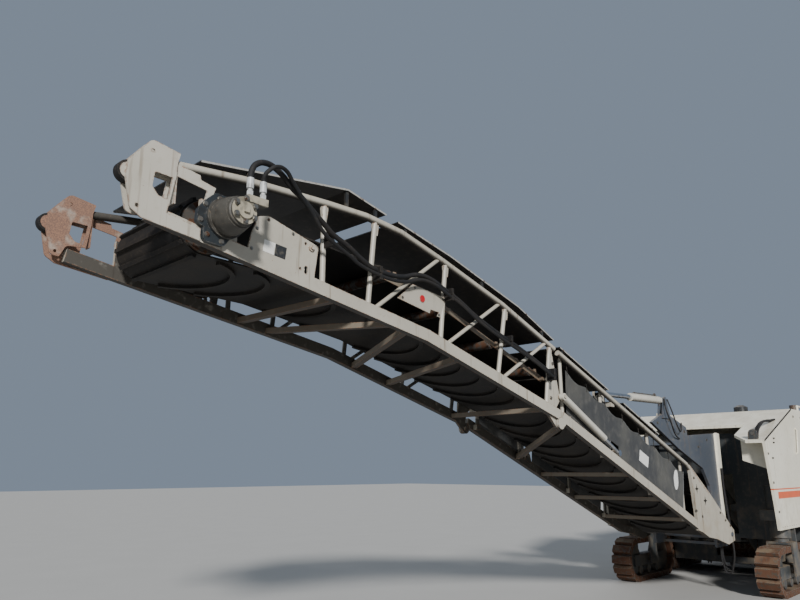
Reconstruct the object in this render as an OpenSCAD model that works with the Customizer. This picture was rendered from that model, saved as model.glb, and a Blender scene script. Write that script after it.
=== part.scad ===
// Large cold planer on four tracks, with a folding discharge conveyor at its front.
// Millimetres. +X points forwards to the conveyor's tip, +Y to the machine's left, +Z up,
// and the ground is z = 0. The conveyor is drawn raised, as it is parked.

/* [Body] */
// Space beside the drum for its housing, the side plate and the body's side
side_w = 250; // [245:5:270]
// Thickness of a body panel with its frame
panel_t = 40; // [30:1:40]
// Height of the hood's top edge
hood_z = 2670; // [2600:10:2750]
// Height of the operator's floor
floor_z = 1750; // [1720:10:1800]
// Height of the guard rail above the floor
rail_h = 1000; // [900:10:1050]
// Height of the engine housing's walls
engine_top_z = 2560; // [2500:10:2620]

/* [Tracks] */
// Width of a track shoe
shoe_w = 300; // [260:10:300]
// Length of a track over its shoes
track_l = 1700; // [1600:10:1720]
// Height of a track over its shoes
track_h = 660; // [620:10:660]
// Number of shoes on a track
shoe_n = 26; // [22:1:30]
// Radius of a lifting column
column_r = 105; // [90:1:110]
// Radial gap between a column and its sleeve
column_gap = 0.8; // [0.4:0.1:1]

/* [Milling drum] */
// Radius of the drum's bare tube
drum_r = 400; // [360:5:410]
// Length of the drum
drum_l = 2000; // [1800:10:2200]
// Reach of a cutting tip above the drum's tube
pick_h = 90; // [70:5:90]
// Number of cutting tools along the drum
pick_n = 72; // [40:4:80]

/* [Conveyor] */
// Width of the conveyor over its side frames
conveyor_w = 1300; // [1280:10:1320]
// Height of the bottom chord
chord_h = 100; // [80:5:105]
// Width of the bottom chord
chord_w = 60; // [50:5:70]
// Radius of the top tube
top_tube_r = 30; // [25:1:34]
// Radius of a truss post
post_r = 22; // [18:1:26]
// Width of the belt
belt_w = 900; // [820:10:920]
// Thickness of the belt without its cleats
belt_t = 12; // [8:1:14]
// Height of a cleat on the belt
cleat_h = 24; // [12:1:28]
// Number of cleats on one run of half the conveyor
cleat_n = 14; // [8:1:18]
// Thickness of the covers above the belt
cover_t = 8; // [4:1:12]

// Radius of a tow eye
tow_eye_r = 25; // [18:1:30]
// Radius of the eyes in the conveyor's head plates
head_eye_r = 12; // [8:1:16]

/* [Joints] */
// Radius of the slewing pins
slew_pin_r = 45; // [35:1:50]
// Radius of the lift and fold pins
pin_r = 30; // [24:1:34]
// Radius of a lift cylinder's barrel
lift_barrel_r = 50; // [44:1:56]
// Radius of a lift cylinder's rod
lift_rod_r = 30; // [24:1:32]
// Radial gap between a pin and its bore
pin_gap = 0.5; // [0.2:0.1:1.5]

/* [Hidden] */
$fn = 48;
half_w = drum_l / 2 + side_w;            // outer face of the body's sides
wall_t = 35;                             // thickness of the drum housing's side walls
wall_y = drum_l / 2 + wall_t;            // inner face of the drum housing's side walls
beam_y = wall_y + wall_t;                // inner face of the frame's side beams
plate_y = beam_y + 30;                   // inner face of the side plates
in_y = half_w - panel_t;                 // inner face of the side panels
gap = 5;                                 // clearance between pieces that move past each other
seat = 0.3;                              // clearance between pieces that rest on each other

// Body stations along x
rear_x = -7600;                          // rear bumper
deck_x = -5000;                          // operator's platform, rear edge
cowl_x = -3700;                          // operator's platform, front edge
wall_x = -2640;                          // face of the recessed front wall

// Tracks: name, steering axis x, side
axle_y = half_w - 190;                   // y of every steering axis
front_x = -2450;
back_x = -6650;
track_r = track_h / 2;                   // outer radius of the track's ends
chain_r = track_r - 60;                  // radius of the chain's outer face
wheel_r = track_r - 85;                  // radius of the end wheels
run_x = track_l / 2 - track_r;           // end wheels' distance from the middle
sleeve_r = 140;                          // outer radius of a column's sleeve

drum_p = [-4300, 560];                   // drum's axis

// Conveyor profile, [distance behind the tip's upper eye, height], seen from the left.
tip_x = 7400;                            // x of the tip's upper eye
function at(p) = [tip_x - p[0], p[1]];
function path(ps) = [for (p = ps) at(p)];
// columns: distance, height
CHORD_FRONT = [[0, 3160], [2500, 2760], [4530, 2220]];
CHORD_REAR = [[4570, 2207], [8200, 843], [8560, 790]];
TUBE_FRONT = [[150, 3560], [660, 3620], [1400, 3662], [1800, 3675], [2200, 3640],
              [2700, 3520], [3610, 3270], [4510, 2950]];
TUBE_REAR = [[4590, 2920], [7700, 1800], [8350, 1400]];
HEAD = [500, 3280];                      // head drum's axis
TAIL = [8630, 1017];                     // tail drum's axis
pulley_r = 180;                          // radius of the head and tail drums
belt_r = pulley_r + seat + belt_t;       // radius of the belt round a drum
RETURN_FRONT = [[HEAD[0], HEAD[1] - belt_r], [1400, 3070], [2500, 2910], [4535, 2369]];
CARRY_FRONT = [[HEAD[0], HEAD[1] + belt_r], [1400, 3425], [2300, 3350], [4535, 2680]];
function tangent(a) = belt_r * [sin(a), cos(a)];
RETURN_REAR = [[4565, 2360], TAIL - tangent(20.8)];
CARRY_REAR = [[4565, 2672], TAIL + tangent(19.6)];
frame_y = conveyor_w / 2;                // outer face of the conveyor's side frames
tube_y = frame_y - top_tube_r;           // centre line of the top tubes
inner_rail_y = frame_y - 105;            // inner face of the rails that hold the rollers

slew_x = -2050;                          // slewing axis
LIFT = [-1650, 830];                     // lift pivot
FOLD = [2850, 2185];                     // fold pivot
lift_y = 450;                            // middle of a lift cylinder
LIFT_A = [-150, 2640];                   // lift cylinder's eye on the mast
LIFT_B = [1650, 2600];                   // lift cylinder's eye on the conveyor
fold_y = 640;                            // middle of a fold cylinder
FOLD_A = [2780, 2460];                   // fold cylinder's eye on the front half
FOLD_B = [1630, 1910];                   // fold cylinder's eye on the rear half
fold_barrel_r = 38;                      // radius of a fold cylinder's barrel
fold_rod_r = 20;                         // radius of a fold cylinder's rod and pins

// Shapes that the sub-parts share

// A flat bar along the points ps of the x-z plane, h tall above them, from y0 to y0 + w.
module strip(ps, h, y0, w) {
    n = len(ps);
    dirs = [for (i = [0:n - 2]) (ps[i + 1] - ps[i]) / norm(ps[i + 1] - ps[i])];
    function up(d) = d[0] < 0 ? [d[1], -d[0]] : [-d[1], d[0]];
    function lift(i) = let (a = up(dirs[max(0, i - 1)]), b = up(dirs[min(n - 2, i)]))
        (a + b) * h / (1 + a * b);
    slab(concat(ps, [for (i = [n - 1:-1:0]) ps[i] + lift(i)]), y0, w);
}

// A plate of outline ps in the x-z plane, from y0 to y0 + w.
module slab(ps, y0, w) {
    translate([0, y0 + w, 0]) rotate([90, 0, 0]) linear_extrude(w) polygon(ps);
}

// A round bar from p to q.
module bar(p, q, r) {
    d = q - p;
    translate(p) rotate([0, acos(d[2] / norm(d)), atan2(d[1], d[0])])
        cylinder(h = norm(d), r = r);
}

function unit(v) = v / norm(v);

// Round bars through the points ps, with round corners.
module rail(ps, r) {
    for (i = [0:len(ps) - 2]) bar(ps[i], ps[i + 1], r);
    for (i = [1:len(ps) - 2]) translate(ps[i]) sphere(r = r + 0.5);
}

// A tube of flat sides swept through the points ps, mitred at each of them.
module sweep(ps, r, sides) {
    n = len(ps) - 1;
    ways = [for (i = [0:n - 1]) unit(ps[i + 1] - ps[i])];
    rings = [for (i = [0:n]) let (
        a = ways[max(0, i - 1)], b = ways[min(n - 1, i)], t = unit(a + b),
        u = unit(cross(t, [0, 1, 0])), v = cross(t, u), wide = r / sqrt((1 + a * b) / 2))
        for (k = [0:sides - 1]) ps[i] + u * wide * cos(360 * k / sides) + v * r * sin(360 * k / sides)];
    polyhedron(rings, concat(
        [[for (k = [0:sides - 1]) k], [for (k = [sides - 1:-1:0]) n * sides + k]],
        [for (i = [0:n - 1], k = [0:sides - 1]) let (m = (k + 1) % sides)
            [i * sides + m, i * sides + k, (i + 1) * sides + k, (i + 1) * sides + m]]));
}

// A hose of n flat sides along the points ps.
module hose(ps, r, n) {
    last = len(ps) - 1;
    rings = [for (i = [0:last]) let (t = unit(ps[min(last, i + 1)] - ps[max(0, i - 1)]),
        u = unit(cross(t, [0, 1, 0])), v = cross(t, u))
        for (k = [0:n - 1]) ps[i] + r * (u * cos(360 * k / n) + v * sin(360 * k / n))];
    polyhedron(rings, concat(
        [[for (k = [0:n - 1]) k], [for (k = [n - 1:-1:0]) last * n + k]],
        [for (i = [0:last - 1], k = [0:n - 1]) let (a = i * n, m = (k + 1) % n) each
            [[a + m, a + k, a + n + k], [a + m, a + n + k, a + n + m]]]));
}

// A rectangular bar from p to q in the x-z plane, h high and w wide about the plane y.
module flat_bar(p, q, h, y, w) {
    d = (q - p) / norm(q - p);
    n = [-d[1], d[0]] * h / 2;
    slab([p + n, q + n, q - n, p - n], y - w / 2, w);
}

// The corner of an outline at p between a and b, rounded to radius r
function corner(a, p, b, r) = r == 0 ? [p] : let (
    u = unit(a - p), v = unit(b - p), half = acos(u * v) / 2, c = p + unit(u + v) * r / sin(half),
    s = p + u * r / tan(half) - c, e = p + v * r / tan(half) - c, first = atan2(s[1], s[0]),
    turn = (atan2(e[1], e[0]) - first + 540) % 360 - 180)
    [for (k = [0:4]) c + r * [cos(first + turn * k / 4), sin(first + turn * k / 4)]];

// An outline with round corners, from [x, z, radius] of each corner
function rounded(ps) = let (n = len(ps), q = [for (p = ps) [p[0], p[1]]])
    [for (i = [0:n - 1]) each corner(q[(i + n - 1) % n], q[i], q[(i + 1) % n], ps[i][2])];

// A beam of width w and height h whose middle line runs from p to q.
module beam(p, q, w, h) {
    d = q - p;
    translate(p) rotate([0, -atan2(d[2], norm([d[0], d[1]])), atan2(d[1], d[0])])
        translate([0, -w / 2, -h / 2]) cube([norm(d), w, h]);
}

// A cylinder along Y from y0 to y0 + w about the point p of the x-z plane.
module disc(p, r, y0, w) {
    translate([p[0], y0 + w, p[1]]) rotate([90, 0, 0]) cylinder(h = w, r = r);
}

// A box given by its lowest and highest corner.
module block(a, b) { translate(a) cube(b - a); }

module both_sides() { children(); mirror([0, 1, 0]) children(); }

function xyz(p, y) = [p[0], y, p[1]];

// Chassis

module main_frame() color("#4a4d50") {
    difference() {
        union() {
            both_sides() {
                block([-7300, beam_y, 1000], [front_x, in_y - 4, 1150]);
                for (x = [front_x, back_x])
                    block([x - 200, axle_y - 190, 1000], [x + 200, in_y - 4, 1150]);
            }
            for (x = [-7300, -6400, -5500, -3560, -3400])
                block([x, -beam_y - 10, 1030], [x + 120, beam_y + 10, 1150]);
        }
        both_sides() for (x = [front_x, back_x])
            translate([x, axle_y, 0]) cylinder(h = 2000, r = sleeve_r);
        block([-3600, -400, 900], [-3200, 400, 1200]);
    }
}

// Front wall with its opening for the feed conveyor and the lugs of the slewing bearing
module front_wall() color("#4a4d50") {
    difference() {
        union() {
            both_sides() block([wall_x - wall_t, 420, 700], [wall_x, in_y - seat, 1700]);
            block([wall_x - wall_t, -in_y + seat, 1660], [wall_x, in_y - seat, 2290]);
            block([wall_x - wall_t, -425, 640], [wall_x, 425, 760]);
        }
        both_sides() block([wall_x - wall_t - 1, axle_y - 190 - seat, 1000 - seat],
                           [wall_x + 1, in_y, 1150 + seat]);
    }
    slew_lug(2050);
    slew_lug(690);
}

// A lug of the slewing bearing, its bottom at z
module slew_lug(z) {
    difference() {
        union() {
            block([wall_x, -150, z], [slew_x, 150, z + 40]);
            translate([slew_x, 0, z]) cylinder(h = 40, r = 100);
            block([wall_x, -150, z - 45], [wall_x + 150, 150, z]);
        }
        block([slew_x - 100, 100, z - 1], [slew_x + 200, 160, z + 41]);
        block([slew_x - 100, -160, z - 1], [slew_x + 200, -100, z + 41]);
        translate([slew_x, 0, z - 1]) cylinder(h = 42, r = slew_pin_r + pin_gap);
    }
}

module leg_sleeves() color("#4a4d50") {
    both_sides() for (x = [front_x, back_x]) translate([x, axle_y, 760]) difference() {
        cylinder(h = 740, r = sleeve_r);
        translate([0, 0, -1]) cylinder(h = 742, r = column_r + column_gap);
    }
}

module front_body() color("#e9e4d2") {
    both_sides() slab([[cowl_x, 900], [cowl_x, hood_z], [-3150, hood_z], [-1620, 2140],
                       [-1800, 1240], [-1840, 900]], in_y, panel_t);
    difference() {
        slab([[cowl_x, hood_z], [-3150, hood_z], [-1620, 2140], [-1620, 2100], [-3160, 2630],
              [cowl_x, 2630]], -in_y, 2 * in_y);
        translate([0, 0, 1900]) linear_extrude(800)
            polygon([[-2400, -760], [-1890, -760], [-1500, -1090], [-1500, 1090], [-1890, 760],
                     [-2400, 760]]);
    }
    block([cowl_x, -in_y, 1150], [cowl_x + 30, in_y, 2630]);
    both_sides() slab([[wall_x, 2290], [-2400, 2200], [-2400, 2410], [wall_x, 2490]], 760, 20);
}

module rear_body() color("#e9e4d2") {
    both_sides() {
        block([rear_x + 150, in_y, 900], [cowl_x, half_w, floor_z]);
        block([rear_x + 150, in_y, floor_z], [deck_x, half_w, engine_top_z]);
    }
    block([deck_x - 40, -in_y, 1150], [deck_x, in_y, engine_top_z]);
    difference() {
        block([rear_x + 150, -in_y, 900], [rear_x + 190, in_y, engine_top_z]);
        block([rear_x + 140, 450 - half_w, 1300], [rear_x + 200, half_w - 450, 2300]);
    }
    both_sides() for (y = [600, 785]) hood_knuckle(y);
}

// Hinge between the engine's housing and its hood
HOOD_HINGE = [rear_x + 135, engine_top_z + 22];
module hood_knuckle(y) {
    disc(HOOD_HINGE, 14, y, 80);
    slab([for (p = [[-14, 0], [14, 0], [14, -23], [25, -23], [25, -60], [0, -60]])
              HOOD_HINGE + p], y, 80);
}

// Grille in the rear wall's opening
module grilles() color("#2c2e30") {
    w = half_w - 450 - seat;
    for (z = [1300 + seat:70:2290]) block([rear_x + 160, -w, z], [rear_x + 168, w, z + 14]);
    for (i = [-2:2]) block([rear_x + 165, i * (w - 10) / 2 - 10, 1300 + seat],
                           [rear_x + 175, i * (w - 10) / 2 + 10, 2300 - seat]);
    block([rear_x + 160, -w, 2278], [rear_x + 168, w, 2300 - seat]);
}

module rear_bumper() color("#2c2e30") {
    block([rear_x, 250 - half_w, 900], [rear_x + 150, half_w - 250, 1040]);
    both_sides() difference() {
        block([rear_x + 20, 500, 760], [rear_x + 130, 530, 900]);
        disc([rear_x + 75, 820], tow_eye_r, 490, 50);
    }
}

module engine_block() color("#55585a") {
    block([-6900, -450, 1150], [-5550, 450, 1950]);
}

module engine_hood() color("#e9e4d2") {
    translate([-5700, -300, engine_top_z + 40]) {
        cylinder(h = 290, r = 60);
        translate([0, 0, 240]) cylinder(h = 110, r = 130);
        translate([0, 0, 350]) cylinder(h = 40, r1 = 130, r2 = 60);
    }
    translate([-6300, 500, engine_top_z + 40]) difference() {
        cylinder(h = 380, r = 70);
        translate([0, 0, 60]) cylinder(h = 400, r = 62);
    }
    block([rear_x + 150, -half_w, engine_top_z + seat], [deck_x - 60, half_w, engine_top_z + 45]);
    both_sides() {
        disc(HOOD_HINGE, 14, 685, 95);
        block([HOOD_HINGE[0], 685, HOOD_HINGE[1] - 12], [rear_x + 160, 780, HOOD_HINGE[1] + 12]);
    }
}

module platform() color("#3a3c3e") {
    block([deck_x, -in_y, floor_z - 30], [cowl_x, in_y, floor_z]);
    both_sides() for (x = [deck_x + 100, cowl_x - 200])
        block([x, beam_y, 1150], [x + 100, in_y - 15, floor_z - 30]);
}

module handrails() color("#e9e4d2") {
    top = floor_z + rail_h;
    rail_y = half_w - 60;
    both_sides() {
        rail([[deck_x + 40, rail_y, floor_z], [deck_x + 40, rail_y, top],
              [cowl_x - 60, rail_y, top], [cowl_x - 60, rail_y, floor_z]], 20);
        bar([deck_x + 40, rail_y, floor_z + 500], [cowl_x - 60, rail_y, floor_z + 500], 18);
    }
}

module consoles() color("#2c2e30") {
    both_sides() slab([[cowl_x - 400, 2350], [cowl_x, 2500], [cowl_x, floor_z],
                       [cowl_x - 250, floor_z]], half_w - 700, 450);
}

module seats() color("#2c2e30") {
    both_sides() {
        block([-4700, half_w - 600, floor_z + 420], [-4250, half_w - 150, floor_z + 520]);
        block([-4780, half_w - 600, floor_z + 420], [-4700, half_w - 150, floor_z + 950]);
        translate([-4480, half_w - 375, floor_z]) cylinder(h = 420, r = 60);
    }
}

// Feed conveyor inside the body, from the drum up to the slewing axis
FEED = [[-3640, 420], [-1790, 1480]];
module feed_frame() color("#4a4d50") {
    both_sides() {
        strip(FEED, 330, 310, 20);
        block([wall_x - 40, 325, 1100], [wall_x, 420, 1200]);
    }
    for (t = [0.15, 0.5, 0.85]) {
        p = FEED[0] + (FEED[1] - FEED[0]) * t;
        bar([p[0], -310, p[1] + 20], [p[0], 310, p[1] + 20], 20);
    }
}

module feed_belt() color("#1d1d1e") {
    d = (FEED[1] - FEED[0]) / norm(FEED[1] - FEED[0]);
    n = [-d[1], d[0]];
    a = FEED[0] + d * 150 + n * 170;
    b = FEED[1] - d * 130 + n * 170;
    difference() {
        union() {
            slab([a + n * 110, b + n * 110, b - n * 110, a - n * 110], -300, 600);
            disc(a, 110, -300, 600);
            disc(b, 110, -300, 600);
        }
        slab([a + n * 98, b + n * 98, b - n * 98, a - n * 98], -301, 602);
        disc(a, 98, -301, 602);
        disc(b, 98, -301, 602);
    }
}

module feed_drums() color("#55585a") {
    d = (FEED[1] - FEED[0]) / norm(FEED[1] - FEED[0]);
    n = [-d[1], d[0]];
    disc(FEED[0] + d * 150 + n * 170, 98, -310, 620);
    disc(FEED[1] - d * 130 + n * 170, 98, -310, 620);
}

// Milling drum

module drum_housing() color("#4a4d50") {
    x0 = drum_p[0] - 540;
    x1 = drum_p[0] + 580;
    difference() {
        union() {
            both_sides() {
                block([x0, wall_y, 200], [x1, beam_y, 1150]);
                for (x = [x0 + 60, x1 - 120])
                    block([x, beam_y - 5, 330], [x + 60, plate_y - seat, 990]);
            }
            block([x0, -wall_y, 1080], [x1, wall_y, 1110]);
            difference() {
                block([x1 - 30, -wall_y, 200], [x1, wall_y, 1080]);
                block([x1 - 40, -340, 300], [x1 + 10, 340, 950]);
            }
            block([x0, -wall_y, 1000], [x0 + 40, wall_y, 1080]);
            both_sides() block([x0 - 60, wall_y, 980], [x0, beam_y, 1080]);
        }
        both_sides() {
            disc(drum_p, 90 + pin_gap, wall_y - 5, wall_t + 10);
            disc([x0 - 30, 1030], 20 + pin_gap, wall_y - 5, wall_t + 10);
        }
    }
}

module milling_drum() color("#6b5f55") {
    disc(drum_p, drum_r, -drum_l / 2, drum_l);
    disc(drum_p, 90, 5 - beam_y, 2 * beam_y - 10);
    for (i = [0:pick_n - 1]) {
        y = -drum_l / 2 + 40 + (drum_l - 80) * i / (pick_n - 1);
        from_middle = abs(i - (pick_n - 1) / 2);
        a = from_middle * 25 + (i < pick_n / 2 ? 180 : 0);
        translate([drum_p[0], y, drum_p[1]]) rotate([0, a, 0]) {
            translate([drum_r - 10, -25, -35]) cube([55, 50, 70]);
            translate([drum_r + 35, 0, 0]) rotate([0, 60, 0])
                cylinder(h = (pick_h - 45) / sin(60), r1 = 16, r2 = 6);
        }
    }
}

module side_plate(name_side) color("#6a6d70") {
    slab([[-4900, 20], [-3640, 20], [-3560, 160], [-3560, 700], [-4980, 700], [-4980, 160]],
         plate_y, 25);
    slab([[-4900, 10], [-3640, 10], [-3590, 60], [-4950, 60]], plate_y - 15, 60);
}

module side_plate_left() side_plate();
module side_plate_right() mirror([0, 1, 0]) side_plate();

module moldboard() color("#6a6d70") {
    x0 = drum_p[0] - 540;
    hinge = [x0 - 30, 1030];
    both_sides() {
        disc(hinge, 20, wall_y - 35, wall_t + 30);
        slab([hinge + [-20, -60], hinge + [20, -60], hinge + [20, 0], hinge + [-20, 0]],
             wall_y - 35, 30);
    }
    slab([[x0 - 50, 970], [x0 - 10, 970], [x0 - 10, 60], [x0 - 50, 60]],
         gap - wall_y, 2 * (wall_y - gap));
}

// Tracks, drawn at the front left axis

// Place i of n round the track's loop: [x, z, angle]
function loop_at(u, r) =
    let (straight = 2 * run_x, arc = PI * r, all = 2 * (straight + arc), d = u * all)
    d < straight ? [-run_x + d, r, 0] :
    d < straight + arc ? let (a = (d - straight) / r * 180 / PI)
        [run_x + r * sin(a), r * cos(a), a] :
    d < 2 * straight + arc ? [run_x - (d - straight - arc), -r, 180] :
    let (a = (d - 2 * straight - arc) / r * 180 / PI)
        [-run_x - r * sin(a), -r * cos(a), 180 + a];

module track_loop() color("#3b3733") {
    translate([front_x, axle_y + shoe_w / 2 + 5, track_r]) rotate([90, 0, 0])
        linear_extrude(shoe_w) {
            difference() {
                stadium(chain_r);
                stadium(wheel_r);
            }
            for (i = [0:shoe_n - 1]) {
                p = loop_at(i / shoe_n, chain_r);
                translate([p[0], p[1]]) rotate(-p[2])
                    polygon([[-66, -4], [66, -4], [66, 16], [54, 60], [-54, 60], [-66, 16]]);
            }
        }
}

module stadium(r) {
    for (x = [-run_x, run_x]) translate([x, 0]) circle(r = r);
    square([2 * run_x, 2 * r], center = true);
}

module track_carrier() color("#6a6d70") {
    y = axle_y + 5;
    z = track_r;
    for (x = [-run_x, run_x]) disc([front_x + x, z], wheel_r, y - 60, 120);
    for (x = [-300, 0, 300]) disc([front_x + x, z - wheel_r + 70], 70, y - 70, 140);
    block([front_x - run_x, y - 90, z - 112], [front_x + run_x, y + 90, z + 60]);
    disc([front_x, z], 60, y - 175, 350);
    for (s = [-1, 1]) block([front_x - 120, y + s * 165 - 12, z - 80],
                            [front_x + 120, y + s * 165 + 12, track_h + 45]);
    block([front_x - 120, y - 177, track_h + 10], [front_x + 120, y + 177, track_h + 45]);
    translate([front_x, axle_y, track_h + 45]) cylinder(h = 1420 - track_h, r = column_r);
}

module track_front_left() track_loop();
module track_front_right() mirror([0, 1, 0]) track_loop();
module track_rear_left() translate([back_x - front_x, 0, 0]) track_loop();
module track_rear_right() translate([back_x - front_x, 0, 0]) mirror([0, 1, 0]) track_loop();
module carrier_front_left() track_carrier();
module carrier_front_right() mirror([0, 1, 0]) track_carrier();
module carrier_rear_left() translate([back_x - front_x, 0, 0]) track_carrier();
module carrier_rear_right()
    translate([back_x - front_x, 0, 0]) mirror([0, 1, 0]) track_carrier();

// Mast

module mast() color("#59636d") {
    difference() {
        union() {
            both_sides() {
                slab([[290, 2330], [-150, 2490], [-830, 2310], [-850, 2200], [-1950, 2270],
                      [-1950, 640], [-1560, 640], [-1500, 1500], [-1300, 1750], [-500, 2010]],
                     lift_y - 20, 40);
                disc(LIFT, 60, lift_y + 20, frame_y - 45 - lift_y - 20 - gap);
                disc(LIFT, pin_r, lift_y, frame_y + 15 - lift_y);
                for (y = [lift_y - 40, lift_y + 20]) {
                    slab([[-280, 2400], [-20, 2400], LIFT_A + [50, 0], LIFT_A - [50, 0]], y, 20);
                    disc(LIFT_A, 50, y, 20);
                }
                disc(LIFT_A, 22, lift_y - 40, 80);
                slab([[-2010, 2262], [-1900, 2275], [-1880, 1750], [-1862, 940], [-1905, 930],
                      [-1935, 1200], [-1990, 1750]], lift_y + 19, 31);
            }
            for (z = [2005, 2095, 645, 735]) {
                block([-1950, -lift_y + 20, z], [-1880, lift_y - 20, z + 40]);
                block([slew_x, -100, z], [-1940, 100, z + 40]);
                translate([slew_x, 0, z]) cylinder(h = 40, r = 100);
            }
            block([-1950, -lift_y + 20, 2100], [-1600, lift_y - 20, 2135]);
        }
    }
    for (z = [2005, 645]) translate([slew_x, 0, z]) cylinder(h = 130, r = slew_pin_r);
}

// Lift cylinders, along the line from the mast to the conveyor

module along(p, q) {
    d = q - p;
    translate([p[0], 0, p[1]]) rotate([0, -atan2(d[1], d[0]), 0]) children();
}

module lift_barrels() color("#d8d6cf") both_sides() translate([0, lift_y, 0])
    along(LIFT_A, LIFT_B) difference() {
        union() {
            rotate([90, 0, 0]) cylinder(h = 38, r = 42, center = true);
            translate([30, -19, -25]) cube([110, 38, 50]);
            translate([135, 0, 0]) rotate([0, 90, 0]) cylinder(h = 845, r = lift_barrel_r);
        }
        rotate([90, 0, 0]) cylinder(h = 50, r = 22 + pin_gap, center = true);
        translate([175, 0, 0]) rotate([0, 90, 0]) cylinder(h = 900, r = lift_rod_r + pin_gap);
    }

module lift_rods() color("#b9bcbf") both_sides() translate([0, lift_y, 0])
    along(LIFT_B, LIFT_A) {
        rotate([90, 0, 0]) cylinder(h = 38, r = 40, center = true);
        translate([25, 0, 0]) rotate([0, 90, 0]) cylinder(h = 1300, r = lift_rod_r);
    }

// Conveyor, rear half

REAR_POSTS = [4720, 5560, 6700, 7640];   // distances of its posts
post_y = frame_y - 90;                   // y of its posts, clear of the fold cylinders

module rear_tubes(extra) both_sides()
    rail([for (p = path(TUBE_REAR)) xyz(p, tube_y)], top_tube_r + extra);

module conveyor_rear_tubes() color("#cfc8b6") both_sides()
    sweep([for (p = path(TUBE_REAR)) xyz(p, tube_y)], top_tube_r, 24);

module conveyor_rear_truss() color("#cfc8b6") difference() {
    both_sides() for (s = REAR_POSTS) {
        block([tip_x - s - 35, post_y - 22, lookup(s, CHORD_REAR) + 20],
              [tip_x - s + 35, frame_y - chord_w - seat, lookup(s, CHORD_REAR) + 80]);
        bar([tip_x - s, post_y, lookup(s, CHORD_REAR) + 70],
            [tip_x - s, post_y, lookup(s, TUBE_REAR) + 10], post_r);
        block([tip_x - s - 15, post_y, lookup(s, TUBE_REAR) - 15],
              [tip_x - s + 15, tube_y, lookup(s, TUBE_REAR) + 10]);
    }
    rear_tubes(seat);
}

// Yoke over the belt that the lift cylinders hold
module lift_yoke() color("#cfc8b6") {
    difference() {
        block([LIFT_B[0] - 40, -tube_y, 2432], [LIFT_B[0] + 40, tube_y, 2490]);
        rear_tubes(seat);
    }
    both_sides() for (y = [lift_y - lift_rod_r - gap - 20, lift_y + lift_rod_r + gap]) {
        block([LIFT_B[0] - 40, y, 2490 + seat], [LIFT_B[0] + 40, y + 20, LIFT_B[1]]);
        disc(LIFT_B, 40, y, 20);
        disc(LIFT_B, 22, y < lift_y ? y - 8 : y + 20, 8);
    }
}

module conveyor_rear_frame() color("#cfc8b6") {
    difference() {
        union() {
            both_sides() {
                strip(path(CHORD_REAR), chord_h, frame_y - chord_w, chord_w);
                slab([[-360, 1790], [-990, 1400], [-1760, 880], [-1760, 740], [-1500, 700],
                      [-470, 950]], frame_y - 40, 40);
                slab([FOLD + [-200, 80], FOLD + [-20, 45], FOLD + [50, 0], FOLD + [0, -60],
                      FOLD + [-60, -30]], frame_y - 28, 28);
                disc(FOLD, 60, frame_y - 28, 28);
                disc(FOLD, pin_r, frame_y - 70, 70);
            }
        }
        rear_tubes(seat);
        both_sides() {
            disc(LIFT, pin_r + pin_gap, frame_y - 50, 60);
            difference() {
                disc(FOLD, 60 + gap, frame_y - chord_w - 5, chord_w - 28 + 5);
                disc(FOLD, pin_r, frame_y - 70, 70);
            }
        }
    }
}

// Lugs inside the bottom chords that hold the fold cylinders' rods
module fold_lugs() color("#cfc8b6") both_sides() {
    slab([[1560, 1800], [1700, 1850], FOLD_B + [35, 15], FOLD_B + [0, 35], FOLD_B - [35, 0]],
         frame_y - chord_w - 20, 20 - seat);
    disc(FOLD_B, fold_rod_r, frame_y - chord_w - 20, chord_w - 32 + 20);
}

module belt_rear() color("#1d1d1e") {
    strip(path(RETURN_REAR), belt_t, -belt_w / 2, belt_w);
    strip(path(CARRY_REAR), -belt_t, -belt_w / 2, belt_w);
    difference() {
        disc(at(TAIL), belt_r, -belt_w / 2, belt_w);
        disc(at(TAIL), pulley_r + seat, -belt_w, 2 * belt_w);
        translate(xyz(at(TAIL), 0)) rotate([0, -20.2, 0]) block([5, -belt_w, -300], [400, belt_w, 300]);
    }
    cleats(at(RETURN_REAR[0]), at(RETURN_REAR[1]), -1);
    cleats(at(CARRY_REAR[0]), at(CARRY_REAR[1]), 1);
}

// Curved cleats on the run of the belt from p to q, on its side s
module cleats(p, q, s) {
    l = norm(q - p);
    n = max(1, floor((l - 300) / (4000 / cleat_n)));
    d = (q - p) / l;
    a = atan2(d[1], d[0]);
    up = d[0] < 0 ? -s : s;
    for (i = [0:n - 1]) {
        c = p + (q - p) * (150 + (l - 300) * (i + 0.5) / n) / l;
        translate([c[0], 0, c[1]]) rotate([0, -a, 0]) translate([0, 0, up > 0 ? -2 : -cleat_h])
            linear_extrude(cleat_h + 2) intersection() {
                translate([s * 307, 0]) difference() {
                    circle(r = 457);
                    circle(r = 421);
                }
                translate([s * 307, 0]) polygon([[0, 0], [-s * 300, 900], [-s * 900, 900],
                                                 [-s * 900, -900], [-s * 300, -900]]);
                square([400, belt_w - 40], center = true);
            }
    }
}

module tail_drum() color("#55585a") {
    disc(at(TAIL), pulley_r, -belt_w / 2 - 20, belt_w + 40);
    disc(at(TAIL), 40, -frame_y + 40, 2 * frame_y - 80);
}

module covers_rear() color("#2b2c2e") {
    for (r = [[4620, 5640], [5990, 6900]]) {
        strip(path([for (s = r) [s, lookup(s, TUBE_REAR) + 70]]), cover_t,
              -frame_y + 10, 2 * frame_y - 20);
        difference() {
            both_sides() for (s = [r[0] + 60, r[1] - 60])
                block([tip_x - s - 15, tube_y - 10, lookup(s, TUBE_REAR) + 20],
                      [tip_x - s + 15, tube_y + 10, lookup(s, TUBE_REAR) + 76]);
            rear_tubes(seat);
        }
    }
}

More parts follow.
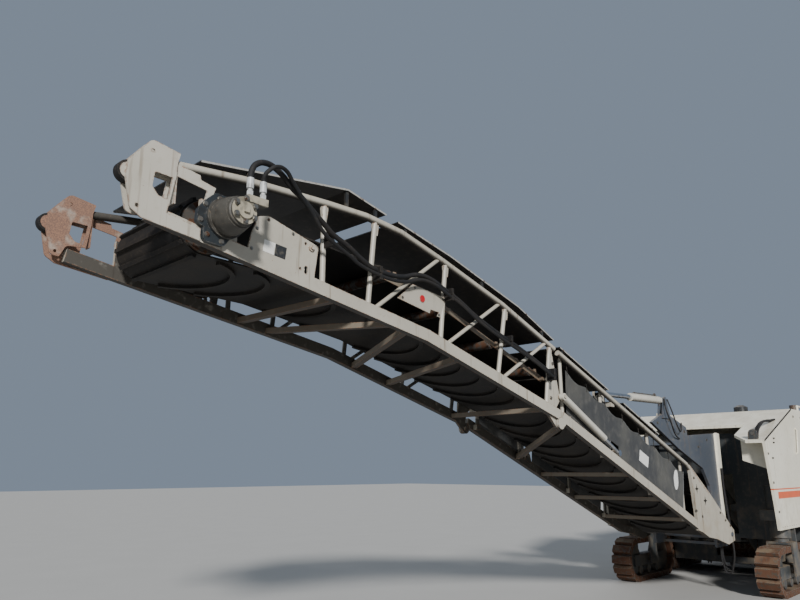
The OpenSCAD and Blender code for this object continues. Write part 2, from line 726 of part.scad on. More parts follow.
canvas_y = frame_y - chord_w - 6 - seat;
module side_canvas() color("#3a3b3d") both_sides() difference() {
    slab([[2610, 2760], [2640, 2240], [-170, 1185], [-290, 1700]], canvas_y, 6 - seat);
    slab([[1540, 1780], [1720, 1840], FOLD_B + [55, 15], FOLD_B + [20, 55], FOLD_B + [-20, 55],
          FOLD_B - [55, 0]], canvas_y - 1, 10);
}

// Conveyor, front half

// columns: distance at the top, distance at the bottom
POSTS = [[1370, 1370], [1900, 1830], [2770, 2690], [3660, 3510], [4430, 4320]];
DIAGONALS = [[2690, 1900], [3580, 2770], [4370, 3580]];

module conveyor_front_frame() color("#cfc8b6") {
    difference() {
        union() {
            both_sides() {
                strip(path(CHORD_FRONT), chord_h, frame_y - chord_w, chord_w);
                slab([FOLD + [0, 45], FOLD + [200, 95], FOLD + [60, -30], FOLD + [0, -60],
                      FOLD + [-50, 0]], frame_y - 60, 28);
                disc(FOLD, 60, frame_y - 60, 28);
                slab([[3010, 2330], [2960, 2900], [2880, 2900], FOLD_A + [0, 45],
                      FOLD_A + [-40, 0], FOLD_A + [0, -45], [2890, 2300]], frame_y - 74, 20);
                disc(FOLD_A, fold_rod_r, frame_y - 74, 99);
                slab([[6760, 3100], [7040, 3150], [7040, 3400], [6760, 3370]], frame_y - 60, 30);
                slab(rounded([[6700, 3110, 0], [6674, 3243, 10], [6622, 3388, 12], [6540, 3412, 20],
                              [6095, 3296, 12], [6135, 3000, 0]]), frame_y - 12, 12);
                disc([6163, 3268], 24, frame_y - 12, 22);
                disc([6163, 3268], 12, frame_y - 12, 34);
            }
        }
        both_sides() {
            for (h = [[6204, 3085, 16], [6204, 3110, 16], [6255, 3098, 10], [6213, 3292, 11]])
                disc([h[0], h[1]], h[2], frame_y - 20, 40);
            disc(FOLD, pin_r + pin_gap, frame_y - 61, 30);
            disc(FOLD, 60 + gap, frame_y - 28 - gap, 40);
        }
    }
}

// Cross braces: distance on the left side, distance on the right side
BRACES_FRONT = [[1520, 1480], [2140, 1760], [2260, 2830], [2950, 3300], [4320, 4320]];
BRACES_REAR = [[4660, 5600], [6100, 6100], [6900, 6900], [7640, 7640]];
module braces(table, chord) difference() {
    for (b = table) beam([tip_x - b[0], frame_y, lookup(b[0], chord) + 38],
                         [tip_x - b[1], -frame_y, lookup(b[1], chord) + 38], 64, 46);
    both_sides() {
        block([-3000, frame_y - chord_w - seat, 0], [7500, frame_y + 100, 4000]);
        if (chord == CHORD_REAR) for (s = REAR_POSTS)
            block([tip_x - s - 35 - seat, post_y - 22 - seat, 0], [tip_x - s + 35 + seat, frame_y, 4000]);
    }
}

// Braces, and the rails that hold the rollers under the belt
RAIL_FRONT = [[2024, 3236], [2800, 3105], [4350, 2598]];
module cross_braces_front() color("#b5ad9a") {
    braces(BRACES_FRONT, CHORD_FRONT);
    both_sides() {
        strip(path(RAIL_FRONT), 46, inner_rail_y, 8);
        for (s = [2733, 3585, 4330]) {
            z = lookup(s, RAIL_FRONT);
            block([tip_x - s - 20, inner_rail_y + 4, z + 5],
                  [tip_x - s + 20, tube_y - post_r - seat, z + 40]);
        }
        for (s = IDLERS) {
            z = lookup(s, CARRY_FRONT) - belt_t - 48;
            low = lookup(s, RAIL_FRONT) + 10;
            slab([[tip_x - s - 30, low], [tip_x - s + 30, low], [tip_x - s + 16, z + 16],
                  [tip_x - s - 16, z + 16]], inner_rail_y, 8);
        }
    }
}

module cross_braces_rear() color("#b5ad9a") braces(BRACES_REAR, CHORD_REAR);

module front_tubes(extra) both_sides()
    rail([for (p = path(TUBE_FRONT)) xyz(p, tube_y)], top_tube_r + extra);

module conveyor_front_tubes() color("#cfc8b6") both_sides()
    sweep([for (p = path(TUBE_FRONT)) xyz(p, tube_y)], top_tube_r, 24);

module conveyor_front_truss() color("#cfc8b6") difference() {
    both_sides() {
        for (p = DIAGONALS)
            bar([tip_x - p[0], tube_y, lookup(p[0], TUBE_FRONT)],
                [tip_x - p[1], tube_y, lookup(p[1], CHORD_FRONT) + chord_h - 15], post_r - 4);
        for (p = POSTS) {
            x = tip_x - p[0];
            z = lookup(p[0], TUBE_FRONT);
            bar([x, tube_y, z],
                [tip_x - p[1], tube_y, lookup(p[1], CHORD_FRONT) + chord_h - 15], post_r);
            slab([[x - 33, z], [x + 33, z], [x + 30, z - 60], [x + 18, z - 125], [x - 22, z - 125],
                  [x - 32, z - 60]], tube_y - 10, 20);
        }
    }
    front_tubes(seat);
    both_sides() strip(path(CHORD_FRONT), chord_h + seat, frame_y - chord_w - 1, chord_w + 2);
}

// Corners of the head plates: x, z, radius
HEAD_OUTER = [[7412, 3662, 50], [7545, 3490, 30], [7556, 3385, 20], [7512, 3195, 45],
              [7440, 3152, 30], [7052, 3104, 0], [7052, 3185, 0], [7284, 3222, 0],
              [7240, 3470, 0], [7238, 3560, 0], [7222, 3630, 8]];
HEAD_INNER = [[7412, 3662, 50], [7545, 3490, 30], [7552, 3385, 20], [7505, 3190, 40],
              [7440, 3185, 10], [7400, 3275, 40], [7262, 3290, 0], [7240, 3470, 0],
              [7238, 3560, 0], [7222, 3630, 8]];
HEAD_HOLE = [[7378, 3462, 15], [7264, 3458, 0], [7284, 3308, 0], [7345, 3318, 15],
             [7388, 3366, 10]];
HEAD_ARM = [[7240, 3565, 0], [7072, 3538, 8], [7066, 3508, 8], [6955, 3486, 8], [7004, 3355, 6],
            [7035, 3370, 10], [7018, 3450, 8], [7240, 3484, 0]];

module head_plates() color("#d9d4c6") both_sides() {
    difference() {
        union() {
            slab(rounded(HEAD_OUTER), frame_y, 12);
            slab(rounded(HEAD_INNER), frame_y - chord_w - 12, 12);
            block([7228, frame_y - chord_w - 1, 3300], [7240, frame_y + 1, 3525]);
            slab(rounded(HEAD_ARM), frame_y - 10, 10);
        }
        slab(rounded(HEAD_HOLE), frame_y - 100, 200);
        for (p = [[7400, 3590], [7470, 3220]]) disc(p, head_eye_r, frame_y - 100, 200);
        sweep([for (p = path(TUBE_FRONT)) xyz(p, tube_y)], top_tube_r + seat, 24);
    }
    disc(BUMPER, 50, frame_y - chord_w - 1, chord_w + 2);
}

BUMPER = [7535, 3420];
module head_bumpers() color("#1d1d1e") both_sides() difference() {
    disc(BUMPER, 65, frame_y - chord_w + seat, chord_w - 2 * seat);
    disc(BUMPER, 50 + seat, frame_y - chord_w, chord_w);
}

IDLERS = [2200, 2900, 3600, 4250];       // distances of the rollers under the belt

module head_drum() color("#55585a") {
    for (s = IDLERS) {
        p = [tip_x - s, lookup(s, CARRY_FRONT) - belt_t - 48];
        disc(p, 45, -belt_w / 2 - 30, belt_w + 60);
        disc(p, 12, seat - inner_rail_y, 2 * (inner_rail_y - seat));
    }
    disc(at(HEAD), pulley_r, -belt_w / 2 - 20, belt_w + 40);
    disc(at(HEAD), 40, -frame_y + 60, 2 * frame_y - 120);
}

module belt_front() color("#1d1d1e") {
    strip(path(RETURN_FRONT), belt_t, -belt_w / 2, belt_w);
    strip(path(CARRY_FRONT), -belt_t, -belt_w / 2, belt_w);
    difference() {
        disc(at(HEAD), belt_r, -belt_w / 2, belt_w);
        disc(at(HEAD), pulley_r + seat, -belt_w, 2 * belt_w);
        block([at(HEAD)[0] - 400, -belt_w, 3000], [at(HEAD)[0] - 3, belt_w, 3600]);
    }
    for (i = [0:len(RETURN_FRONT) - 2])
        cleats(at(RETURN_FRONT[i]), at(RETURN_FRONT[i + 1]), -1);
    for (i = [0:len(CARRY_FRONT) - 2])
        cleats(at(CARRY_FRONT[i]), at(CARRY_FRONT[i + 1]), 1);
    for (a = [20:35:160]) translate(xyz(at(HEAD), 0)) rotate([0, a, 0])
        translate([0, -belt_w / 2 + 20, belt_r - 2]) cube([30, belt_w - 40, cleat_h + 2]);
}

// Corners of the gearbox's flange: x, z, radius
GEAR_FLANGE = [[6975, 3440, 40], [7040, 3375, 30], [7092, 3300, 40], [7097, 3212, 30], [7046, 3195, 4],
               [7040, 3105, 30], [6895, 3095, 40], [6850, 3165, 40], [6800, 3240, 40],
               [6795, 3340, 60], [6860, 3430, 50]];
// Radius of the motor's body at each distance from the frame
MOTOR = [[0, 35.5], [135, 35.5], [135, 62], [118, 62], [118, 84], [124, 92], [124, 118], [104, 215],
         [96, 215], [96, 236], [88, 240], [88, 262], [55, 262], [55, 276], [0, 276]];

module conveyor_motor() color("#7d7f80") {
    slab(rounded(GEAR_FLANGE), frame_y + seat, 36);
    translate([at(HEAD)[0], frame_y, HEAD[1]]) rotate([-90, 0, 0]) rotate_extrude() polygon(MOTOR);
    block([at(HEAD)[0] - 18, frame_y + 270, HEAD[1] - 18],
          [at(HEAD)[0] + 18, frame_y + 292, HEAD[1] + 18]);
    for (a = [30:60:330])
        disc(at(HEAD) + 76 * [cos(a), sin(a)], 11, frame_y + 255, 22);
    block([6735, frame_y + 205, 3345], [6885, frame_y + 270, 3392]);
    for (x = [6860, 6762]) {
        translate([x, 893, 3390]) cylinder(h = 34, r = 22, $fn = 6);
        translate([x, 893, 3420]) cylinder(h = 28, r = 15);
        translate([x, 893, 3442]) cylinder(h = 70, r = 23);
    }
}

module covers_front() color("#2b2c2e") {
    flap = [[330, 3640], [1590, 3830], [2010, 3740]];
    main = [[2150, 3715], [2820, 3575], [3870, 3290], [4500, 3040]];
    for (ps = [flap, main]) strip(path(ps), cover_t, -frame_y + 10, 2 * frame_y - 20);
    difference() {
        both_sides() for (s = [700, 1590, 1900, 2250, 3300, 4300])
            block([tip_x - s - 15, tube_y - 10, lookup(s, TUBE_FRONT) + 20],
                  [tip_x - s + 15, tube_y + 10, lookup(s, s < 2050 ? flap : main) + 4]);
        front_tubes(seat);
    }
}

module reflector_plates() color("#d9d4c6") both_sides() {
    slab([[5084, 3215], [4672, 3172], [4739, 2984], [4779, 2991], [4758, 3028], [4866, 3037],
          [4877, 3002], [5267, 3065]], frame_y - 8, 8);
    disc([4972, 3111], 32, frame_y - 1, 4);
}

// Hoses of the conveyor's motor: points of the pressure hose and the return hose
HOSE_A = [[6860, 893, 3512.3], [6860, 893, 3530], [6855, 895, 3570], [6825, 895, 3620],
          [6745, 890, 3655], [6630, 870, 3640], [6480, 835, 3570], [6395, 815, 3545],
          [6280, 790, 3490], [6155, 765, 3435], [6050, 745, 3385],
          [5880, 720, 3340], [5700, 700, 3270], [5580, 690, 3235], [5440, 685, 3225], [5265, 685, 3235],
          [5045, 685, 3295], [4890, 685, 3285], [4730, 685, 3235], [4545, 685, 3175], [4290, 685, 3065],
          [3430, 680, 2805], [3082, 680, 2685]];
HOSE_B = [[6762, 893, 3512.3], [6762, 893, 3525], [6765, 905, 3555], [6740, 930, 3600],
          [6690, 935, 3635], [6610, 920, 3640], [6520, 885, 3590], [6430, 860, 3530],
          [6310, 830, 3455], [6170, 800, 3345], [6020, 775, 3290],
          [5880, 755, 3250], [5770, 740, 3215], [5580, 728, 3185], [5440, 722, 3175], [5265, 722, 3185],
          [5045, 722, 3245], [4890, 722, 3235], [4730, 722, 3185], [4545, 722, 3125], [4290, 722, 3015],
          [3430, 718, 2755], [3082, 718, 2635]];
module hoses_front() color("#1d1d1e") {
    hose(HOSE_A, 20, 12);
    hose(HOSE_B, 14, 12);
    block([3035, frame_y - 8 + seat, 2600], [3075, frame_y + 85, 2720]);
}

module fold_barrels() color("#d8d6cf") both_sides() translate([0, fold_y, 0])
    along(FOLD_A, FOLD_B) difference() {
        union() {
            rotate([90, 0, 0]) cylinder(h = 44, r = 36, center = true);
            translate([20, 0, 0]) rotate([0, 90, 0]) cylinder(h = 900, r = fold_barrel_r);
        }
        rotate([90, 0, 0]) cylinder(h = 90, r = fold_rod_r + pin_gap, center = true);
        translate([60, 0, 0]) rotate([0, 90, 0]) cylinder(h = 900, r = fold_rod_r + pin_gap);
    }

module fold_rods() color("#b9bcbf") both_sides() translate([0, fold_y, 0])
    along(FOLD_B, FOLD_A) {
        rotate([90, 0, 0]) cylinder(h = 40, r = 34, center = true);
        translate([20, 0, 0]) rotate([0, 90, 0]) cylinder(h = 650, r = fold_rod_r);
    }

main_frame();
front_wall();
leg_sleeves();
front_body();
rear_body();
rear_bumper();
engine_block();
engine_hood();
platform();
handrails();
consoles();
seats();
feed_frame();
feed_belt();
feed_drums();
drum_housing();
milling_drum();
side_plate_left();
side_plate_right();
moldboard();
track_front_left();
track_front_right();
track_rear_left();
track_rear_right();
carrier_front_left();
carrier_front_right();
carrier_rear_left();
carrier_rear_right();
mast();
lift_barrels();
lift_rods();
conveyor_rear_frame();
conveyor_rear_tubes();
conveyor_rear_truss();
lift_yoke();
fold_lugs();
belt_rear();
tail_drum();
covers_rear();
side_canvas();
conveyor_front_frame();
conveyor_front_tubes();
conveyor_front_truss();
head_plates();
head_bumpers();
head_drum();
belt_front();
conveyor_motor();
covers_front();
reflector_plates();
fold_barrels();
fold_rods();
cross_braces_front();
cross_braces_rear();
hoses_front();
grilles();
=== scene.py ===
"""Dresses a cold planer with its folding discharge conveyor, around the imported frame.

Metres. +X points forwards to the conveyor's tip, +Y to the machine's left and +Z up.
"""
import logging
import math
from collections.abc import Iterable
from dataclasses import dataclass, field
from enum import Enum

import bmesh
import bpy
from mathutils import Matrix, Vector


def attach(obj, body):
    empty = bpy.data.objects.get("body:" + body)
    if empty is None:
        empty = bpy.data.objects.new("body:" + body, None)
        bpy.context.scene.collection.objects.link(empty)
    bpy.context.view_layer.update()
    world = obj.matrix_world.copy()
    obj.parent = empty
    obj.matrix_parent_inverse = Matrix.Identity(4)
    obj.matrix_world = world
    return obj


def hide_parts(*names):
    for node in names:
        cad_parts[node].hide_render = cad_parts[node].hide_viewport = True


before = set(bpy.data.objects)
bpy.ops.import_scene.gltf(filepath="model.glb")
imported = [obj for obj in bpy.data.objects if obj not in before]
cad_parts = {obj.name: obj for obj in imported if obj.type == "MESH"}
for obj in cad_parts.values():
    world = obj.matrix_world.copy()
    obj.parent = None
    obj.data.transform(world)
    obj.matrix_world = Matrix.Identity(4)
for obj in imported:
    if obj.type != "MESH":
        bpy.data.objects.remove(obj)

LOG = logging.getLogger("cold_planer")
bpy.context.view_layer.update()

Point = tuple[float, float, float]
Pair = tuple[float, float]
Outline = list[Pair]
Socket = bpy.types.NodeSocket

SIDES = {"left": 1, "right": -1}
# Outer faces on the left side: the body's panels, the conveyor's side frames
PANEL_Y = 1.25
FRAME_Y = 0.65
# How far bolts and catches stand off their plate, and how far seams and treads do
OFF = 0.0003
THIN_OFF = 0.0002


def linear(code: str) -> tuple[float, float, float, float]:
    """Turns an sRGB hex colour into linear light.

    Args:
        code: six hex digits after a hash.

    Returns:
        Red, green, blue and an alpha of one.
    """
    parts = [int(code[i:i + 2], 16) / 255 for i in (1, 3, 5)]
    light = [c / 12.92 if c <= 0.04045 else ((c + 0.055) / 1.055) ** 2.4 for c in parts]
    return (*light, 1.0)


def add(tree: bpy.types.NodeTree, kind: str, inputs: dict | None = None, **settings) -> bpy.types.Node:
    """Adds one node, with its settings, values and links.

    Args:
        tree: the tree that takes the node.
        kind: the node's type.
        inputs: a value or another node's output for each input, by name or number.
        settings: the node's own properties.

    Returns:
        The new node.
    """
    node = tree.nodes.new(kind)
    for name, value in settings.items():
        setattr(node, name, value)
    for name, value in (inputs or {}).items():
        if isinstance(value, Socket):
            tree.links.new(value, node.inputs[name])
        else:
            node.inputs[name].default_value = value
    return node


def lerp(a: Iterable[float], b: Iterable[float], t: float) -> Vector:
    """Gives the point at the share t of the way from a to b."""
    start = Vector(a)
    return start + (Vector(b) - start) * t


def rect(x0: float, z0: float, x1: float, z1: float) -> Outline:
    """Gives a rectangle's outline from its low and its high corner."""
    return [(x0, z0), (x1, z0), (x1, z1), (x0, z1)]


def ring(centre: Pair, radius: float, angles: Iterable[float]) -> Outline:
    """Gives the points of a circle at some angles, in degrees."""
    return [(centre[0] + radius * math.cos(math.radians(a)), centre[1] + radius * math.sin(math.radians(a)))
            for a in angles]


def add_box(shape: bmesh.types.BMesh, low: Point, high: Point) -> None:
    """Adds a box to a shape, from its low and its high corner."""
    middle = [(a + b) / 2 for a, b in zip(low, high)]
    size = [b - a for a, b in zip(low, high)]
    bmesh.ops.create_cube(shape, size=1, matrix=Matrix.Translation(middle) @ Matrix.Diagonal((*size, 1)))


def start_group(name: str, sizes: dict[str, float | int]) -> bpy.types.NodeTree:
    """Starts a Geometry Nodes group with named inputs.

    Args:
        name: the group's name.
        sizes: the value of each input, by name. A whole number makes an input for whole numbers.

    Returns:
        The group. It also takes a geometry and a material, and gives a geometry.
    """
    tree = bpy.data.node_groups.new(name, "GeometryNodeTree")
    tree.interface.new_socket("Geometry", in_out="INPUT", socket_type="NodeSocketGeometry")
    for label, value in sizes.items():
        kind = "NodeSocketInt" if isinstance(value, int) else "NodeSocketFloat"
        tree.interface.new_socket(label, in_out="INPUT", socket_type=kind).default_value = value
    tree.interface.new_socket("Material", in_out="INPUT", socket_type="NodeSocketMaterial")
    tree.interface.new_socket("Geometry", in_out="OUTPUT", socket_type="NodeSocketGeometry")
    return tree


def end_group(tree: bpy.types.NodeTree, placed: Socket, material: Socket) -> None:
    """Makes the instances of a group real, paints them and gives them out."""
    real = add(tree, "GeometryNodeRealizeInstances", {0: placed}).outputs[0]
    painted = add(tree, "GeometryNodeSetMaterial", {0: real, "Material": material}).outputs[0]
    add(tree, "NodeGroupOutput", {0: painted})


class Axis(Enum):
    """The axes of the machine, by their place in a vector."""

    LENGTH = 0
    WIDTH = 1
    HEIGHT = 2


Limits = tuple[tuple[Axis, float, float], ...]


@dataclass(frozen=True)
class Band:
    """A stretch of a surface that takes another colour, between planes."""

    colour: str
    limits: Limits


@dataclass(frozen=True)
class Patch:
    """A print on a surface that faces sideways: a rectangle or an oval, turned in the x-z plane."""

    colour: str
    centre: Pair
    size: Pair
    tilt_deg: float = 0
    oval: bool = False


class Surface:
    """The nodes of one material: a colour, a roughness and a bump, built up in layers."""

    def __init__(self, name: str, colour: str, roughness: float) -> None:
        """Starts a material with one plain coat."""
        self.material = bpy.data.materials.new(name)
        self.material.use_nodes = True
        self.tree = self.material.node_tree
        self.tree.nodes.clear()
        self.shader = add(self.tree, "ShaderNodeBsdfPrincipled")
        add(self.tree, "ShaderNodeOutputMaterial", {0: self.shader.outputs[0]})
        self.place = add(self.tree, "ShaderNodeTexCoord").outputs["Object"]
        self.facing = add(self.tree, "ShaderNodeNewGeometry").outputs["Normal"]
        self.colour: Socket | tuple = linear(colour)
        self.roughness: Socket | float = roughness
        self.heights: list[tuple[Socket, float, float]] = []

    def spots(self, size_mm: float, detail: float = 4, stretch: Point = (1, 1, 1)) -> Socket:
        """Gives noise whose spots are size_mm across, drawn out along an axis by stretch."""
        place = add(self.tree, "ShaderNodeMapping", {"Vector": self.place, "Scale": stretch}).outputs[0]
        return add(self.tree, "ShaderNodeTexNoise",
                   {"Vector": place, "Scale": 1000 / size_mm, "Detail": detail}).outputs["Fac"]

    def fade(self, value: Socket, low: float, high: float, to: Pair = (0, 1)) -> Socket:
        """Gives a mask that fades in as a value goes from low to high."""
        return add(self.tree, "ShaderNodeMapRange", {"Value": value, "From Min": low, "From Max": high,
                                                     "To Min": to[0], "To Max": to[1]},
                   interpolation_type="SMOOTHSTEP").outputs[0]

    def both(self, a: Socket | float, b: Socket | float) -> Socket:
        """Gives where two masks meet: their product."""
        return add(self.tree, "ShaderNodeMath", {0: a, 1: b}, operation="MULTIPLY", use_clamp=True).outputs[0]

    def either(self, a: Socket | float, b: Socket | float) -> Socket:
        """Gives where one mask or the other is: their sum, up to one."""
        return add(self.tree, "ShaderNodeMath", {0: a, 1: b}, operation="ADD", use_clamp=True).outputs[0]

    def below(self, a: Socket | float, b: Socket | float) -> Socket:
        """Gives a mask of where a is less than b."""
        return add(self.tree, "ShaderNodeMath", {0: a, 1: b}, operation="LESS_THAN").outputs[0]

    def part(self, vector: Socket, axis: Axis) -> Socket:
        """Gives one part of a vector."""
        return add(self.tree, "ShaderNodeSeparateXYZ", {0: vector}).outputs[axis.value]

    def upward(self, to: Pair = (0, 1)) -> Socket:
        """Gives a mask of what faces up."""
        return self.fade(self.part(self.facing, Axis.HEIGHT), 0.3, 0.95, to)

    def blend(self, mask: Socket | float, under: Socket | tuple, over: Socket | tuple) -> Socket:
        """Mixes two colours."""
        return add(self.tree, "ShaderNodeMix", {0: mask, 6: under, 7: over}, data_type="RGBA").outputs[2]

    def layer(self, mask: Socket | float, colour: str | Socket, roughness: float | None = None) -> None:
        """Lays a colour, and a roughness where one is given, over what is there, as far as the mask says."""
        self.colour = self.blend(mask, self.colour, linear(colour) if isinstance(colour, str) else colour)
        if roughness is not None:
            self.roughness = add(self.tree, "ShaderNodeMix",
                                 {0: mask, 2: self.roughness, 3: roughness}).outputs[0]

    def edges(self, width_mm: float) -> Socket:
        """Gives a mask of the outer edges, about width_mm wide."""
        soft = add(self.tree, "ShaderNodeBevel", {"Radius": width_mm / 1000}, samples=4).outputs[0]
        match = add(self.tree, "ShaderNodeVectorMath", {0: soft, 1: self.facing}, operation="DOT_PRODUCT")
        return self.fade(match.outputs["Value"], 0.995, 0.9)

    def inside(self, limits: Limits) -> Socket:
        """Gives a mask of the stretch between some planes."""
        mask: Socket | float = 1.0
        for axis, low, high in limits:
            value = self.part(self.place, axis)
            mask = self.both(mask, self.both(self.below(low, value), self.below(value, high)))
        return mask

    def print(self, patch: Patch) -> Socket:
        """Gives a mask of a print."""
        centre = (patch.centre[0], 0, patch.centre[1])
        turned = add(self.tree, "ShaderNodeVectorRotate",
                     {"Vector": self.place, "Center": centre, "Angle": math.radians(patch.tilt_deg)},
                     rotation_type="Y_AXIS").outputs[0]
        away = add(self.tree, "ShaderNodeVectorMath", {0: turned, 1: centre}, operation="SUBTRACT").outputs[0]
        half = (2 / patch.size[0], 0, 2 / patch.size[1])
        scaled = add(self.tree, "ShaderNodeVectorMath", {0: away, 1: half}, operation="MULTIPLY").outputs[0]
        if patch.oval:
            reach = add(self.tree, "ShaderNodeVectorMath", {0: scaled}, operation="LENGTH").outputs["Value"]
            return self.below(reach, 1.0)
        flat = add(self.tree, "ShaderNodeVectorMath", {0: scaled}, operation="ABSOLUTE").outputs[0]
        return self.both(*(self.below(self.part(flat, way), 1.0) for way in (Axis.LENGTH, Axis.HEIGHT)))

    def bump(self, height: Socket, strength: float, depth_mm: float) -> None:
        """Adds a relief of that depth."""
        self.heights.append((height, strength, depth_mm / 1000))

    def finish(self, **values: float) -> bpy.types.Material:
        """Joins the layers to the shader and sets what is the same all over.

        Args:
            values: the shader's own inputs, with underscores for spaces.

        Returns:
            The material.
        """
        for name, value in (("Base Color", self.colour), ("Roughness", self.roughness)):
            if isinstance(value, Socket):
                self.tree.links.new(value, self.shader.inputs[name])
            else:
                self.shader.inputs[name].default_value = value
        normal = {}
        for height, strength, depth in self.heights:
            bump = add(self.tree, "ShaderNodeBump",
                       {"Height": height, "Strength": strength, "Distance": depth, **normal})
            normal = {"Normal": bump.outputs[0]}
        if normal:
            self.tree.links.new(normal["Normal"], self.shader.inputs["Normal"])
        for name, value in values.items():
            self.shader.inputs[name.replace("_", " ")].default_value = value
        return self.material


@dataclass(frozen=True)
class Finish:
    """What every finish has: a name from the real material and how it is made."""

    name: str

    def make(self) -> bpy.types.Material:
        """Builds the material. Each kind of finish has its own way."""
        raise NotImplementedError


@dataclass(frozen=True)
class Enamel(Finish):
    """Sprayed enamel on steel plate: an even satin coat that chips to rust along its edges.

    Dust lies on what faces up, and soot and oil darken what faces down, together with painted shade.
    """

    paint: str
    faded: str
    roughness: float = 0.42
    rust: float = 0.4
    dust: float = 0.4
    # Strength of the brown runs, and of the soot and painted shade on what faces down
    grime_and_shade: float = 0.3
    chip_mm: float = 9
    bare: str = "#6b4a33"
    flake: str = "#9a7458"
    bands: tuple[Band, ...] = ()
    rusty: Limits = ()
    # Colour of the soot and painted shade on what faces down
    soot_and_shade: str = "#3d3126"
    splash: float = 0.35
    splash_top: float = 1.75
    # How far what faces the machine's middle plane is darkened with painted shade and bitumen
    tar_and_shade: float = 0

    def make(self) -> bpy.types.Material:
        """Builds the coats from the paint outwards."""
        s = Surface(self.name, self.paint, self.roughness)
        # Faded in patches as wide as a door, under the coloured bands
        s.layer(s.fade(s.spots(900, 3), 0.35, 0.7), self.faded)
        for band in self.bands:
            s.layer(s.inside(band.limits), band.colour)
        # A faint mottle, and brown runs that follow the rain down
        s.layer(s.fade(s.spots(60, 6), 0.5, 0.75, (0, 0.18)), "#8f8470", 0.6)
        runs = s.spots(45, 3, (1, 1, 0.07))
        s.layer(s.fade(runs, 0.58, 0.74, (0, 0.55 * self.grime_and_shade + 0.1)), "#6f5d48", 0.6)
        # Soot and painted shade below, dust on top, and mud that thickens towards the ground
        s.layer(s.fade(s.part(s.facing, Axis.HEIGHT), -0.2, -0.9, (0, self.grime_and_shade)), self.soot_and_shade, 0.75)
        cover = s.fade(s.spots(220, 5), 0.3, 0.65, (0.1, self.dust))
        s.layer(s.both(s.upward(), cover), "#9c8b70", 0.85)
        low = s.fade(s.part(s.place, Axis.HEIGHT), self.splash_top, 0.85)
        mud = s.fade(s.spots(170, 9), 0.4, 0.7, (0, self.splash))
        s.layer(s.both(low, mud), "#8d7c63", 0.8)
        if self.tar_and_shade:
            # Painted shade, with bitumen, on what faces the machine's middle plane
            s.layer(s.both(self.inward(s), self.tar_and_shade), "#231e19", 0.85)
        flaked = self.chips(s)
        tone = s.blend(s.fade(s.spots(8, 6), 0.3, 0.7), linear(self.bare), linear(self.flake))
        s.layer(flaked, tone, 0.9)
        # Orange peel of the spray, the step down into a chip, and the plate's own waves
        s.bump(s.spots(2.5, 2), 0.05, 0.3)
        s.bump(flaked, 0.35, -0.5)
        s.bump(s.spots(350, 2), 0.25, 4)
        return s.finish(Coat_Weight=0.08, Coat_Roughness=0.3)

    def inward(self, s: Surface) -> Socket:
        """Gives a mask of what faces the machine's middle plane, mottled: painted shade of the frames' inner
        faces, with bitumen settled there.
        """
        side = add(s.tree, "ShaderNodeMath", {0: s.part(s.place, Axis.WIDTH)}, operation="SIGN").outputs[0]
        out = add(s.tree, "ShaderNodeMath", {0: side, 1: s.part(s.facing, Axis.WIDTH)},
                  operation="MULTIPLY").outputs[0]
        return s.both(s.fade(out, 0.1, -0.4), s.fade(s.spots(60, 5), 0.2, 0.45, (0.6, 1)))

    def chips(self, s: Surface) -> Socket:
        """Gives a mask of bare metal: chipped edges, freckles, and a side that has lost its paint."""
        more = 0.2 * self.rust
        edge = s.both(s.edges(self.chip_mm), s.fade(s.spots(26, 8), 0.62 - more, 0.7 - more))
        more = 0.08 * self.rust
        freckle = s.fade(s.spots(14, 5), 0.76 - more, 0.8 - more)
        flaked = s.either(edge, s.both(freckle, s.fade(s.spots(400, 2), 0.45, 0.6)))
        if self.rusty:
            lost = s.fade(s.spots(90, 9), 0.22, 0.5, (0.35, 1))
            flaked = s.either(flaked, s.both(s.inside(self.rusty), lost))
        return flaked


@dataclass(frozen=True)
class WornSteel(Finish):
    """Steel that rubs on earth and asphalt: bright on its edges, brown where it rests."""

    steel: str
    rust: str = "#5a3b29"
    worn: float = 0.5
    roughness: float = 0.45
    metallic: float = 0.6
    dust: float = 0.4

    def make(self) -> bpy.types.Material:
        """Builds rust over steel, polishes its edges and lays dust on top."""
        s = Surface(self.name, self.steel, self.roughness)
        more = 0.3 * (1 - self.worn)
        s.layer(s.fade(s.spots(45, 8), 0.62 - more, 0.72 - more), self.rust, 0.85)
        s.layer(s.fade(s.spots(9, 5), 0.5, 0.7, (0, 0.4)), "#6f4f3b", 0.9)
        s.layer(s.both(s.edges(6), s.fade(s.spots(30, 3), 0.35, 0.55)), "#8d8983", 0.35)
        up = s.upward((0.05, self.dust))
        s.layer(s.both(up, s.fade(s.spots(120, 5), 0.3, 0.6)), "#85755f", 0.9)
        s.bump(s.spots(6, 6), 0.4, 0.8)
        s.bump(s.spots(60, 3), 0.3, 2)
        return s.finish(Metallic=self.metallic)


@dataclass(frozen=True)
class Rubber(Finish):
    """Vulcanised rubber: matt and near black, greyed by asphalt dust and scuffed on what stands proud."""

    tone: str = "#1b1a19"
    dust: float = 0.5
    scuff: float = 0.5

    def make(self) -> bpy.types.Material:
        """Builds dust and scuffs over black rubber."""
        s = Surface(self.name, self.tone, 0.72)
        s.layer(s.fade(s.spots(300, 4), 0.35, 0.7, (0, 0.5 * self.dust)), "#4a4035", 0.88)
        s.layer(s.fade(s.spots(22, 6), 0.55, 0.72, (0, 0.5 * self.dust)), "#5b4f41", 0.9)
        rubbed = s.fade(s.spots(20, 4), 0.4, 0.6, (0, self.scuff))
        s.layer(s.both(s.edges(8), rubbed), "#5d554b", 0.8)
        s.bump(s.spots(3, 4), 0.25, 0.4)
        s.bump(s.spots(70, 3), 0.2, 2)
        return s.finish(Specular_IOR_Level=0.35)


